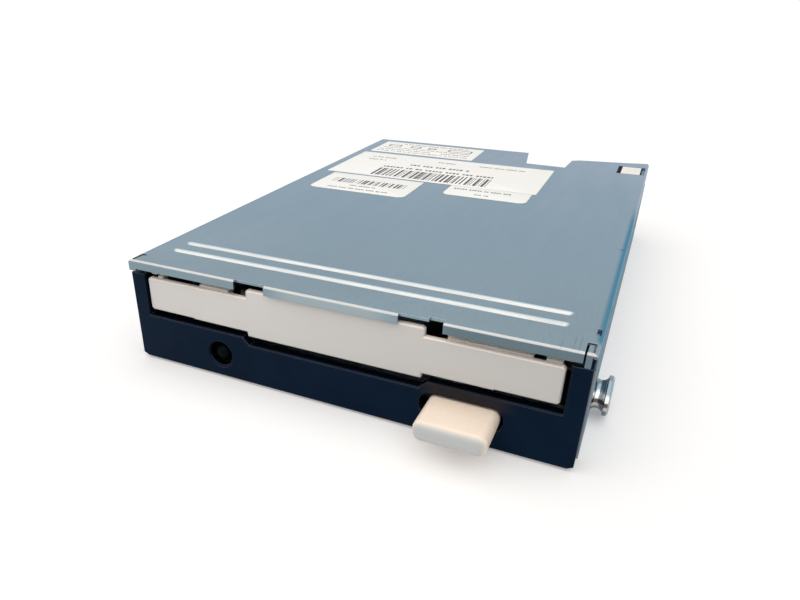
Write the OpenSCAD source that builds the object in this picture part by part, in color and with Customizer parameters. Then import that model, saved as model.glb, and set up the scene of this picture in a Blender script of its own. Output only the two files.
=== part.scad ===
// Slot-loading drive for 3.5-inch disks, one inch high.
// Drawn from the front: X to the right, Y to the rear, Z up. The front lip of the cover is at y = 0
// and the feet of the chassis are at z = 0. Each sub-part is then centred over the footprint.

/* [Envelope] */
// Width over the chassis side walls
drive_width = 101.6; // [101.2:0.1:102.4]
// Height of the top face of the cover above the feet
drive_height = 25.4; // [25.2:0.1:26.4]
// Length of the top cover
cover_length = 150.4; // [149.4:0.2:153]

/* [Cover] */
// Sheet thickness of the cover
cover_sheet = 0.6; // [0.5:0.05:0.65]
// Gap between the cover flange and the outer face of the chassis
flange_inset = 0.1; // [0.05:0.05:0.2]
// Height of the side flanges
flange_height = 5.6; // [4.6:0.1:6]
// Height of the front lip
lip_height = 2.1; // [1.8:0.05:2.1]
// Depth of the pressed beads
bead_depth = 0.35; // [0.3:0.05:0.5]
// Width of the pressed beads
bead_width = 2; // [1.8:0.1:2.8]
// Distance of the first bead from the front
bead_first = 9.5; // [8:0.1:10.5]
// Distance from bead to bead
bead_pitch = 5.1; // [4.2:0.1:6]
// Length of the beads
bead_length = 90; // [70:0.1:92]
// Thickness of the paper labels
label_paper = 0.1; // [0.05:0.05:0.2]

/* [Bezel and door] */
// Distance of the bezel sides inside the sides of the drive
bezel_inset = 0.3; // [0.3:0.05:0.5]
// Distance of the bezel face behind the front lip
bezel_face = 0.4; // [0.3:0.1:0.5]
// Thickness of the bezel panel
bezel_panel = 2.2; // [1.8:0.1:2.3]
// Height of the lower edge of the disk slot
slot_edge_z = 11.9; // [11.7:0.1:12.1]
// Depth of the finger relief in the middle of the slot
slot_relief = 1.7; // [1.2:0.1:1.9]
// Width of the bezel at each side of the disk slot
bezel_pillar = 3.5; // [3.5:0.1:3.7]
// Thickness of the door flap
door_panel = 1.3; // [1:0.1:1.4]
// Gap between the front lip and the door flap
door_setback = 0.35; // [0.3:0.05:0.45]
// Gap at each side of the door flap
door_gap = 0.65; // [0.6:0.05:1]
// Side play of the door flap
door_shift = -0.3; // [-0.3:0.05:0.3]
// Radius of the lamp hole
lamp_hole_r = 3; // [2.6:0.1:3.2]
// Radius of the lamp lens
lamp_r = 2; // [1.6:0.1:2.2]

/* [Eject button] */
// Width of the button
button_width = 14.2; // [12:0.1:14.4]
// Height of the button
button_height = 4.4; // [3.8:0.1:4.6]
// Distance that the button stands out of the front
button_out = 9.5; // [8:0.1:10.5]
// Rounding of the long edges of the button
button_round = 1.7; // [1.2:0.1:1.8]
// Rounding of the front edges of the button
button_nose = 0.9; // [0.6:0.1:1.2]

/* [Chassis] */
// Thickness of the side walls
wall = 1.8; // [1.6:0.1:1.9]
// Length of the chassis to its rear end
chassis_rear = 146; // [145:0.2:147]
// Height of the underside of the web
web_bottom = 4; // [3.8:0.1:4]
// Radius of the fastening holes for M3 screws
hole_r = 1.5; // [1.3:0.05:1.6]
// Height of the side holes above the feet
side_hole_z = 5; // [4.8:0.1:5.2]
// Distance of the front side holes from the front
side_hole_y = 22.5; // [21:0.1:23]
// Distance between the holes along the drive
hole_pitch = 70; // [69:0.5:71]
// Distance of the underside holes from the middle
foot_x = 44.2; // [43.6:0.1:44.4]
// Distance of the front underside holes from the front
foot_y = 31; // [30.5:0.1:32]

/* [Mounting studs] */
// Radius of the stud neck
stud_neck_r = 3; // [2.6:0.1:3.4]
// Length of the stud neck
stud_neck = 2.2; // [1.8:0.1:2.6]
// Radius of the stud flange
stud_flange_r = 4.3; // [3.8:0.1:4.6]
// Thickness of the stud flange
stud_flange = 1.3; // [1:0.1:1.6]

/* [Disk and loading] */
// Length of a disk case
disk_length = 94; // [93.5:0.1:94]
// Thickness of a disk case
disk_thick = 3.3; // [3.2:0.05:3.4]
// Height of the underside of a disk in the raised holder
disk_up_z = 13.6; // [13.5:0.05:13.7]
// Drop of the holder when a disk is loaded
load_drop = 2.6; // [2.4:0.05:2.6]
// Travel of the slide plate and the button
slide_travel = 5; // [4.6:0.1:5.2]
// Sheet thickness of the holder
holder_sheet = 0.6; // [0.5:0.05:0.7]
// Sheet thickness of the slide plate
slide_sheet = 0.8; // [0.7:0.05:0.8]
// Radius of the holder pins
holder_pin_r = 1; // [0.8:0.05:1.1]

/* [Spindle] */
// Distance of the spindle axis from the front
spindle_y = 51; // [50.6:0.1:51.2]
// Radius of the rotor
rotor_r = 20.5; // [19.5:0.1:20.6]
// Radius of the spindle shaft
shaft_r = 2; // [1.8:0.05:2.1]
// Radius of the hub plate
hub_r = 13.5; // [12.5:0.1:14.5]
// Height of the hub plate top
hub_top = 10.8; // [10.6:0.05:10.8]

/* [Head positioner] */
// Radius of the outer track
outer_track_r = 39.5; // [39.3:0.1:39.6]
// Travel of the head carriage
head_travel = 14.8; // [14.2:0.1:14.8]
// Lead of the screw for one turn
screw_lead = 3.75; // [3.5:0.05:4]
// Radius of the guide rods
rod_r = 1.5; // [1.3:0.05:1.5]
// Distance of the guide rods from the middle
rod_x_pos = 12; // [11.8:0.1:12.2]
// Height of the guide rods
rod_z = 7.8; // [7.7:0.05:7.9]
// Radius of the stepper can
stepper_r = 7.6; // [7:0.1:7.6]
// Distance of the lead screw from the middle
screw_x = 24; // [23.8:0.1:24.6]

/* [Hidden] */
$fn = 48;
eps = 0.1;
run_gap = 0.3;
half_w = drive_width / 2;
top_z = drive_height;
// Row origin: middle of the footprint along Y
row_y = (cover_length - button_out) / 2;

// Cover
flange_x = half_w - flange_inset;
flange_bottom = top_z - flange_height;
bend_r = 0.9;
lip_bottom = top_z - lip_height;
bead_x = -0.35;
bead_radius = (bead_width * bead_width / 4 + bead_depth * bead_depth) / (2 * bead_depth);
bead_centre_z = top_z + bead_radius - bead_depth;
corner_slot = [half_w - 2.3, half_w - 0.7, 0.6, 4.2];
cover_rear = cover_length - 0.4;
front_bend_r = 0.6;
// The right end of the lip hangs lower and is freed by a slit
lip_end_drop = 0.8;
lip_slit = 0.35;
// The left end of the lip is lower too, round the corner
lip_left = 1.8;
lip_left_drop = 0.5;
notch_left = [-22.3, -14.9];
notch_right = [14.8, 23.7];
notch_deep = [20.8, 23.7, 1.6];
rear_window = [half_w - 9.4, half_w - 0.9, 132.3, 143.3];
edge_slot = [half_w - 1.3, half_w - 0.55, 7.6, 10.2];
edge_relief = [0.35 - flange_x, 4.5, 11.6];
slant_place = [half_w - 2.6, 46.5, top_z];
slant_size = [4, 9.5, 1];
slant_angle = 7;
// Cut-away behind the rear edge, with the notch in it
rear_edge_left = 9;
rear_edge = [
  [rear_edge_left, cover_length + 1], [rear_edge_left, cover_rear],
  [11.6, cover_rear - 17.1], [24.8, cover_rear - 17.7],
  [25.5, cover_rear - 6], [28, cover_rear - 4.4],
  [half_w - 7, cover_rear - 1.3], [half_w - 0.9, cover_length - 0.1], [half_w - 0.9, cover_length + 1]
];
// Bumps of the chassis that hold the flanges, and the play of the windows round them
clip_rows = [26, 75, 124];
bump_half = 1.8;
bump_bottom = flange_bottom + 1.5;
bump_top = flange_bottom + 3.1;
bump_play = 0.2;
// Left, right, front and rear edge of each label, and its corner radius
label_spots = [
  [-46, -6.8, 127.9, 146.5, 0.4],
  [-47, 22.5, 93.3, 125.5, 0.4],
  [-43.4, -12, 73, 92, 2.2],
  [-3.3, 21.5, 82.4, 93, 2.2]
];
// White clip under the rear window
clip_in = rear_window[0] + 1.3;
clip_out = rear_window[1] - 1.3;
clip_front = rear_window[2] + 0.7;
clip_leg = 4.5;
clip_leg_in = clip_in + 1.7;
clip_head_bottom = 20.5;

// Chassis
wall_in = half_w - wall;
rebate_x = flange_x - cover_sheet - 0.05;
rebate_z = flange_bottom - 0.3;
wall_front = 5.2;
wall_top = top_z - cover_sheet - 0.15;
web = 1.5;
web_top = web_bottom + web;
web_front = 7;
web_rear = 138;
board = 1.2;
board_top = web_bottom - 0.6;
board_bottom = board_top - board;
side_rows = [side_hole_y, side_hole_y + hole_pitch];
foot_rows = [foot_y, foot_y + hole_pitch];
boss_in = wall_in - 1.3;
side_boss_r = 3.6;
foot_boss_r = 3.4;
tongue_x = half_w - 1.9;
tongue = 0.8;
tongue_front = 0.95;
tongue_root = 1.6;
screw_pad_r = 2.6;
tap_r = 0.8;
wall_slot_rows = [48, 110];
wall_slot_length = 12;
wall_slot_z = 15;
wall_slot_r = 1.2;
corner_wall = 1.4;
corner_wall_in = rear_window[0] - 2.4;

// Studs
stud_collar = 0.5;
stud_groove_r = 1.3;
stud_bevel = 0.4;
stud_cross = [0.9, 4.4, 1.8];

// Small screws
shank_r = 0.78;
head_r = 1.9;
head_height = 0.9;
driver_slot = 0.5;
clear_r = 1.1;
motor_screws = [[19.8, spindle_y + 19.8], [-19.8, spindle_y + 19.8], [0, spindle_y - 27.4]];
bracket_screws = [[30.5, 104], [30.5, 118]];

// Bezel and door
bezel_half = half_w - bezel_inset;
slot_half = bezel_half - bezel_pillar;
bezel_back = bezel_face + bezel_panel;
bezel_foot = 0.65;
bezel_foot_top = 1.9;
pillar_top = top_z - 3.2;
tongue_bottom = pillar_top + 0.4;
ear_in = slot_half;
ear_out = slot_half + 1.6;
ear_rear = 6.2;
ear_bottom = slot_edge_z - 2;
ear_top = top_z - 1.1;
bezel_corner = 1.2;
bezel_side = 1.4;
bezel_foot_inset = 1.5;
bezel_foot_rear = 6.7;
// Hooks that reach back and catch in windows of the chassis walls
bezel_arm = [slot_half + 0.75, slot_half + 1.85];
bezel_arm_rear = 11.5;
bezel_hook_y = [9.6, 11.4];
bezel_hook_z = [7.6, 10.4];
bezel_hook_tip = half_w - 0.4;
lamp_bevel = 0.4;
hinge_y = 3.4;
hinge_z = top_z - 3;
hinge_pin_r = 0.9;
hinge_hole_r = hinge_pin_r + 0.1;
door_half = slot_half - door_gap;
door_hub = door_half - 2.15;
door_mid_left = -19.9;
door_mid_right = 20.25;
// The hinge bar has a short end at each side and two longer stretches beside the raised middle
hinge_bar_r = 1;
hinge_bars = [
  [-door_hub, 1.8 - door_hub],
  [11.5 - door_hub, door_mid_left - 4.7],
  [door_mid_right + 4, door_hub - 3.5],
  [door_hub - 1.8, door_hub + 1.7]
];
hinge_rib_top = hinge_z - 0.65;
door_step = 34.1;
door_step_rise = 0.2;
door_corner = 0.5;
door_spring_r = 1.3;
door_spring_pitch = 0.42;
door_spring_wire = 0.17;
door_spring_leg = [0, 1.2, -3.4];
hinge_end = slot_half + 1.2;
relief_half = 19.65;
relief_end = relief_half + 1.65;
door_front = cover_sheet + door_setback;
door_back = door_front + door_panel;
door_side_top = top_z - 4.1;
door_mid_top = lip_bottom - 0.05;
door_side_bottom = slot_edge_z + 1.2;
door_mid_bottom = slot_edge_z + 0.1;
slot_chamfer = 0.28;
lamp_x = -27.7;
lamp_z = 6.1;
lamp_front = 2.6;
lamp_rear = 5;
lamp_leg_x = 1.27;
lamp_leg = 0.25;
lamp_leg_rear = 6.3;
lamp_leg_play = 0.1;
lamp_box_half = 3.3;
lamp_box = [2.7, 6.8];
lamp_box_top = 9.2;

// Eject button
button_x = 28.9;
button_z = 6.9;
button_gap = 0.5;
button_hole = [button_x - button_width / 2 - 1.9, button_x + button_width / 2 + 0.8];
button_hole_r = 2.5;
shelf_left = 16;
shelf_right = 10;
shelf_rear = 10.8;
shank_half = 5;
shank_end = 7;
shank_wall = 0.6;
shank_roof = 1.2;
shank_slot_front = 3.4;
tab_half = 3;

// Disk bay
disk_front = 4;
disk_rear = disk_front + disk_length;
bay_floor = disk_up_z - 0.4;
bay_roof = disk_up_z + disk_thick + 0.6;
holder_bottom = bay_floor - holder_sheet;
holder_top = bay_roof + holder_sheet;
holder_in = half_w - 5.2;
holder_out = holder_in + holder_sheet;
holder_front = 16;
holder_rear = disk_rear + 0.5;
holder_floor_in = holder_in - 8.6;
head_slot_half = 8;
holder_notch = [18, 26];
roof_window_x = [20, 36];
roof_window_y = [28, 46];
pin_rows = [32, 82];
pin_play = 0.15;
pin_z = 15.2;
pin_end = half_w - 0.5;

// Slide plate
slide_gap = 0.2;
slide_z = web_top + slide_gap;
slide_top = slide_z + slide_sheet;
slide_out = holder_in + 1.8;
slide_rail_in = slide_out - 3.4;
slide_front = 12.5;
slide_bar = 5;
slide_rear = 98;
slide_wall = [24, 92];
slide_wall_top = 17.4;
screw_room = hole_r + 0.7;
hook_y = 85;
hook_x = slide_rail_in - 2;
hook_half = 1.2;
hook_root = 3;
hook_top = 9.6;
spring_z = 8;
spring_r = 1.3;
spring_wire = 0.25;
loop_r = 1.6;
spring_post_y = 60;
spring_post_top = 9.4;
spring_post_r = 1.1;
spring_coil_length = 17;
spring_coil_steps = 72;

// Shutter lever
lever_x = 5.6 - holder_in;
lever_y = holder_rear + 11.5;
lever_r = 30;
lever_angle = -74.5;
lever_swing = 55;
lever_z = holder_top + 0.4;
lever_plate = 1;
lever_top = lever_z + lever_plate;
lever_pin_r = 1.25;
lever_hub_r = 4.2;
lever_tip_r = 2.6;
lever_path = 4.4;
lever_path_extra = 6;
post_r = 1.5;
post_play = 0.08;
collar_r = 3;
post_head = 0.7;
post_head_r = 2.4;
lever_spring_r = 3.5;
lever_spring_pitch = 0.75;
lever_spring_z = 10;
lever_spring_leg = [-1.6, 6, -0.4];

// Spindle motor
rotor_top = hub_top - 1.2;
rotor_disc = 0.8;
rotor_rim = 0.8;
rotor_bottom = 4.4;
magnet_r = rotor_r - rotor_rim - 0.02;
magnet_in = magnet_r - 1.9;
core_r = magnet_in - 0.4;
core_z = 4.6;
core_top = 6;
teeth = 12;
tooth = 2.4;
tooth_tip = 6;
tooth_tip_depth = 1.2;
core_hub_r = 9;
coil_front = 9.6;
coil_wrap = 0.5;
coil_side = 0.8;
bearing_r = 6;
bearing_bottom = 1;
bearing_low_r = 4.95;
bearing_flange_r = 7.5;
bearing_neck_r = 4;
bearing_floor = 0.6;
rotor_boss_r = 5;
rotor_boss = 1.2;
balance_at = 16;
balance_r = 1.2;
hub_rim = 1.5;
hub_step = 0.3;
tip_bevel = 0.6;
shaft_top = 12.8;
drive_pin_at = 10;
drive_pin_r = 1.5;
drive_pin_travel = 1.2;
drive_pin_top = hub_top + drive_pin_travel + 0.1;
drive_pin_bottom = rotor_top - rotor_disc - 0.9;
drive_pin_play = 0.08;
motor_hole_r = 23;

// Heads
head_y = spindle_y + outer_track_r;
media_z = disk_up_z - load_drop + disk_thick / 2;
carriage_front = head_y - 3.2;
carriage_body = head_y + 1.7;
carriage_rear = head_y + 31.5;
carriage_bottom = 6.1;
carriage_top = 10.2;
carriage_half = rod_x_pos + 2.5;
tower_front = head_y + 24.1;
tower_half = 9.5;
tower_top = 12.5;
arm_hinge_y = head_y + 28.5;
arm_hinge_z = 15.3;
arm_half = 6.5;
arm_bottom = 14.3;
arm_top = 16.3;
arm_lift = 8.9;
arm_pin_r = 1;
follower_y = head_y + 26.7;
follower_r = 0.35;
follower_pin_r = 0.6;
follower_block = 1.7;
follower_end = 20;
nose_half = 5;
flag_end = 20.6;
flag_half = 0.8;
flag_z = [8, 8.8];
window_half = 3;
head_half = [1.8, 2.4];
tip_half = [1.4, 2];
sensor_x = [-24, -18];
sensor_gap_x = [-21.6, -17];
sensor_y = [head_y + 24, head_y + 30];
sensor_top = 12;
sensor_gap_z = [7.4, 9.4];
arm_hub_r = 2;
arm_front = head_y - 4.5;
head_slot_front = arm_front - head_travel - 3.2;
arm_tab_y = [head_y + 4.5, head_y + 7.5];
arm_tab_end = 11;

// Stepper and screw
screw_z = 13.4;
screw_r = 1.5;
screw_root = 1;
screw_collar_r = screw_r + 0.15;
screw_front = 101;
screw_back = 121.6;
bracket_front = 99.1;
bracket_rear = 122.9;
stepper_rear = 136;
rod_rear = 127.1;
seat_front = [carriage_body - head_travel - 2.9, carriage_body - head_travel - 0.4];
rod_front = seat_front[0] - 0.6;
seat_rear = [124, 126.5];
seat_half = 2.4;
seat_step = 1.9;
seat_reach = 6.8;
seat_screw = 4.5;
clamp_half = 2.2;
clamp_reach = 6.4;
clamp_plate = 0.5;
clamp_head = 0.7;
clamp_head_r = 1.2;
bracket_sides = [19.5, 33];
bracket_sheet = 0.8;
bracket_front_half = 3.5;
bracket_front_top = 17;
bracket_rear_half = 8.5;
bearing_seat_r = 2;
spigot_r = 2.4;
stepper_shell = 1.2;
stepper_bore_r = 4.6;
stepper_rotor_r = 4.3;
journal_r = 1;
journal_play = 0.05;

// Switches
switch_x = holder_in - 4.6;
switch_y = 22;
switch_spots = [[-switch_x, switch_y], [switch_x, switch_y], [6.4 - switch_x, switch_y]];
switch_half = 2.5;
switch_top = 9.4;
plunger_r = 1.2;
plunger_top = 12.2;
plunger_travel = 1.2;
plunger_floor = 5;
plunger_play = 0.06;

// Parts on the boards
// Middle, width and depth of each chip, and its sides with legs
chip_spots = [[-10, 112, 14, 14, 4], [18, 106, 10, 6.5, 2], [20, 126, 12, 6, 2], [26, 26, 11, 7, 2]];
// First place along X, pitch, count and place along Y of each row of small parts
part_rows = [[-32, 5, 6, 96], [4, 6, 4, 93], [-32, 6, 5, 132], [-30, 5, 3, 22]];
part_size = [2.4, 1.3, 0.8];
main_screw_x = 36;
main_screw_rows = [90, 133];
main_screws = [for (y = main_screw_rows) for (s = [1, -1]) [s * main_screw_x, y]];
spindle_hole_r = 5;
motor_board_edge = [
  [-34, 3.2], [-21, 3.2], [-21, 14], [44.2, 14], [44.2, 26.5], [39.5, 28], [39.5, 66], [26, 80],
  [-26, 80], [-39.5, 66], [-39.5, 28], [-44.2, 26.5], [-44.2, 14], [-34, 14]
];
main_board_edge = [
  [-39.5, 84], [39.5, 84], [39.5, 145.5], [30, 147.5], [-42, 147.5], [-42, 106], [-39.5, 106]
];
chip_height = 1.3;
chip_lift = 0.1;
lead_reach = 1.1;
lead_height = 0.4;
lead_margin = 0.6;

// Rear connectors
header_x = -18;
header_cols = 17;
header_pitch = 2.54;
header_half = 22.3;
header_front = 140;
header_rear = 142.6;
header_top = 9.2;
pin_half = 0.32;
pin_rear = 148.6;
row_low = 5.1;
power_x = 17.3;
power_pitch = 2.5;
power_half = 6.1;
power_front = 139;
power_back = 3;
power_rear = 147.4;
power_top = 10.4;
power_side_top = 6;
power_pin_z = 7;
power_count = 4;
leg_front = 1.4;
leg_pitch = 1.6;
leg_room = 3.6;

// Flat cables
flex = 0.25;
flex_half = 3;
flex_y = 132;
flex_low_z = 10.55;
flex_loop_z = 17;
flex_hole_half = [5, 2.6];
socket_half = [4.4, 1.8];
socket_top = 6.4;
socket_wall = 1;
stepper_flex_x = 28;
stepper_flex_y = 139.88;
stepper_flex_z = 10;
stepper_socket_half = 4;
stepper_socket_y = [138.4, 141.4];
link_half = 8;
link_y = [77, 87];

// Colours
steel = [0.62, 0.69, 0.74];
cast = [0.72, 0.74, 0.76];
dark = [0.07, 0.11, 0.16];
pale = [0.78, 0.77, 0.75];
cream = [0.96, 0.91, 0.84];
white = [0.95, 0.95, 0.93];
board_green = [0.1, 0.35, 0.22];
black = [0.08, 0.08, 0.08];
copper = [0.72, 0.42, 0.2];
gold = [0.8, 0.66, 0.3];
bright = [0.8, 0.82, 0.84];
lamp_green = [0.1, 0.35, 0.2];
ceramic = [0.7, 0.6, 0.45];
amber = [0.75, 0.5, 0.2];
core_grey = [0.45, 0.47, 0.5];
ferrite = [0.25, 0.25, 0.27];

// Helpers

module placed(shade) {
  color(shade)
    translate([0, -row_y, 0])
      children();
}

module block(lo, hi) {
  translate(lo)
    cube(hi - lo);
}

module both_sides() {
  children();
  mirror([1, 0, 0])
    children();
}

module post(x, y, z0, z1, r) {
  translate([x, y, z0])
    cylinder(h = z1 - z0, r = r);
}

module rod_x(y, z, x0, x1, r) {
  translate([x0, y, z])
    rotate([0, 90, 0])
      cylinder(h = x1 - x0, r = r);
}

module rod_y(x, z, y0, y1, r) {
  translate([x, y0, z])
    rotate([-90, 0, 0])
      cylinder(h = y1 - y0, r = r);
}

// Outline in X and Y, swept upwards
module plate(points, z0, z1) {
  translate([0, 0, z0])
    linear_extrude(height = z1 - z0)
      polygon(points);
}

// Outline in X and Z, swept to the rear
module panel(points, y0, y1) {
  translate([0, y1, 0])
    rotate([90, 0, 0])
      linear_extrude(height = y1 - y0)
        polygon(points);
}

// Slot through a wall, between two points given as [y, z]
module slot_x(a, b, r, x0, x1) {
  d = b - a;
  translate([x0, a[0], a[1]])
    rotate([atan2(d[1], d[0]), 0, 0]) {
      rod_x(0, 0, 0, x1 - x0, r);
      rod_x(norm(d), 0, 0, x1 - x0, r);
      translate([0, 0, -r])
        cube([x1 - x0, norm(d), 2 * r]);
    }
}

// Bevel along an edge that runs in X
module edge_x(x0, x1, y, z, size) {
  d = size * sqrt(0.5);
  translate([x0, y, z])
    rotate([90, 0, 90])
      linear_extrude(height = x1 - x0)
        polygon([[-d, 0], [0, -d], [d, 0], [0, d]]);
}

function unit(v) = v / norm(v);
function heading(p, i) = unit(p[min(i + 1, len(p) - 1)] - p[max(i - 1, 0)]);
function across(u, t) = unit(u - (u * t) * t);
function sides_of(p, u0) = [
  for (i = 0, u = across(u0, heading(p, 0)); i < len(p); i = i + 1,
    u = across(u, heading(p, min(i, len(p) - 1)))) u
];

// Wire of six sides along a path
module wire(p, r, u0) {
  n = 6;
  last = len(p) - 1;
  u = sides_of(p, u0);
  points = [
    for (i = [0 : last])
      for (k = [0 : n - 1])
        p[i] + r * (cos(360 * k / n) * u[i] + sin(360 * k / n) * cross(heading(p, i), u[i]))
  ];
  skin = [
    for (i = [0 : last - 1])
      for (k = [0 : n - 1])
        [i * n + k, i * n + n + k, i * n + n + (k + 1) % n, i * n + (k + 1) % n]
  ];
  ends = [[for (k = [0 : n - 1]) k], [for (k = [n - 1 : -1 : 0]) last * n + k]];
  polyhedron(points = points, faces = concat(skin, ends));
}

// Turns of a coil along X or Z or Y are made from this, as [radial, axial, radial]
function coil(r, turns, pitch, start, rings) = [
  for (k = [0 : turns * rings])
    [r * cos(start + 360 * k / rings), pitch * k / rings, r * sin(start + 360 * k / rings)]
];

// Body and cover

module wall_slots() {
  for (y = pin_rows)
    slot_x([y, pin_z - load_drop - eps], [y, pin_z + eps], holder_pin_r + pin_play, wall_in - 1,
      half_w + 1);
}

module rod_seat(x, y, screw_side) {
  near = x + screw_side * seat_step;
  far = x + screw_side * seat_reach;
  block([x - seat_half, y[0], web_top - eps], [x + seat_half, y[1], rod_z]);
  block([min(near, far), y[0], web_top - eps], [max(near, far), y[1], rod_z + rod_r]);
}

module seat_screw_hole(x, y) {
  post(x, (y[0] + y[1]) / 2, web_bottom - 1, rod_z + rod_r + 1, tap_r);
}

module chassis_frame() {
  placed(cast) difference() {
    union() {
      both_sides() {
        block([wall_in, wall_front, 0], [half_w, chassis_rear, rebate_z]);
        block([wall_in, wall_front, rebate_z - 1], [rebate_x, chassis_rear, wall_top]);
        block([tongue_x, tongue_front, tongue_bottom],
          [tongue_x + tongue, corner_slot[3] - run_gap, top_z - 0.2]);
        block([tongue_x, tongue_root, tongue_bottom], [tongue_x + tongue, wall_front + 1, wall_top]);
        for (y = side_rows)
          rod_x(y, side_hole_z, boss_in, wall_in + 0.5, side_boss_r);
        for (y = foot_rows)
          post(foot_x, y, 0, web_bottom + 0.5, foot_boss_r);
        for (y = clip_rows)
          block([rebate_x - 0.5, y - bump_half, bump_bottom], [flange_x - 0.05, y + bump_half, bump_top]);
        for (y = main_screw_rows)
          post(main_screw_x, y, board_top, web_bottom + 0.5, screw_pad_r);
        post(hook_x, spring_post_y, web_top - 0.5, spring_post_top, spring_post_r);
        rod_seat(rod_x_pos, seat_front, 1);
        rod_seat(rod_x_pos, seat_rear, -1);
      }
      block([-wall_in - 0.5, web_front, web_bottom], [wall_in + 0.5, web_rear, web_top]);
      // Wall across the rear corner behind the window
      block([corner_wall_in, chassis_rear - corner_wall, web_bottom],
        [wall_in + 0.5, chassis_rear, wall_top]);
      for (p = motor_screws)
        post(p[0], p[1], board_top, web_bottom + 0.5, screw_pad_r);
    }
    post(0, spindle_y, web_bottom - 1, web_top + 1, motor_hole_r);
    both_sides() {
      wall_slots();
      for (y = side_rows)
        rod_x(y, side_hole_z, boss_in - 1, half_w + 1, hole_r);
      for (y = foot_rows)
        post(foot_x, y, -1, web_bottom + 1, hole_r);
      for (y = main_screw_rows)
        post(main_screw_x, y, board_top - 1, web_top + 1, tap_r);
      rod_y(rod_x_pos, rod_z, seat_front[0] - 1, seat_front[1] + 1, rod_r + 0.01);
      rod_y(rod_x_pos, rod_z, seat_rear[0] - 1, seat_rear[1] + 1, rod_r + 0.01);
      seat_screw_hole(rod_x_pos + seat_screw, seat_front);
      seat_screw_hole(rod_x_pos - seat_screw, seat_rear);
      // Windows for the bezel hooks
      block([wall_in - 1, bezel_hook_y[0] - run_gap, bezel_hook_z[0] - run_gap],
        [half_w + 1, bezel_hook_y[1] + run_gap, bezel_hook_z[1] + run_gap]);
      // Slots in the wall below the cover
      for (y = wall_slot_rows)
        slot_x([y, wall_slot_z], [y + wall_slot_length, wall_slot_z], wall_slot_r,
          wall_in - 1, half_w + 1);
    }
    for (s = switch_spots)
      block([s[0] - switch_half - eps, s[1] - switch_half - eps, web_bottom - 1],
        [s[0] + switch_half + eps, s[1] + switch_half + eps, web_top + 1]);
    for (p = motor_screws)
      post(p[0], p[1], board_top - 1, web_top + 1, tap_r);
    post(lever_x, lever_y, web_bottom - 1, web_top + 1, post_r + 0.01);
    // Opening for the head cable and its socket
    block([-flex_hole_half[0], flex_y - flex_hole_half[1], web_bottom - 1],
      [flex_hole_half[0], flex_y + flex_hole_half[1], web_top + 1]);
    // Room for the legs of the rear connectors
    block([header_x - header_half, header_front - leg_room, web_bottom - 1],
      [power_x + power_half, web_rear + 1, web_top + 1]);
    for (p = bracket_screws)
      post(p[0], p[1], web_bottom - 1, web_top + 1, tap_r);
  }
}

module cover_section() {
  square_top = top_z - bend_r;
  difference() {
    union() {
      translate([-flange_x, flange_bottom])
        square([2 * flange_x, square_top - flange_bottom]);
      translate([-flange_x + bend_r, square_top - 1])
        square([2 * flange_x - 2 * bend_r, bend_r + 1]);
      for (s = [-1, 1])
        translate([s * (flange_x - bend_r), square_top])
          circle(r = bend_r);
    }
    translate([-flange_x + cover_sheet, flange_bottom - 1])
      square([2 * flange_x - 2 * cover_sheet, square_top - flange_bottom + 1]);
    translate([-flange_x + bend_r, square_top - 1])
      square([2 * flange_x - 2 * bend_r, bend_r + 1 - cover_sheet]);
    for (s = [-1, 1])
      translate([s * (flange_x - bend_r), square_top])
        circle(r = bend_r - cover_sheet);
  }
}

module bead(y, r) {
  half = bead_length / 2 - bead_width / 2;
  rod_x(y, bead_centre_z, bead_x - half, bead_x + half, r);
  for (s = [-1, 1])
    translate([bead_x + s * half, y, bead_centre_z])
      sphere(r = r);
}

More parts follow.
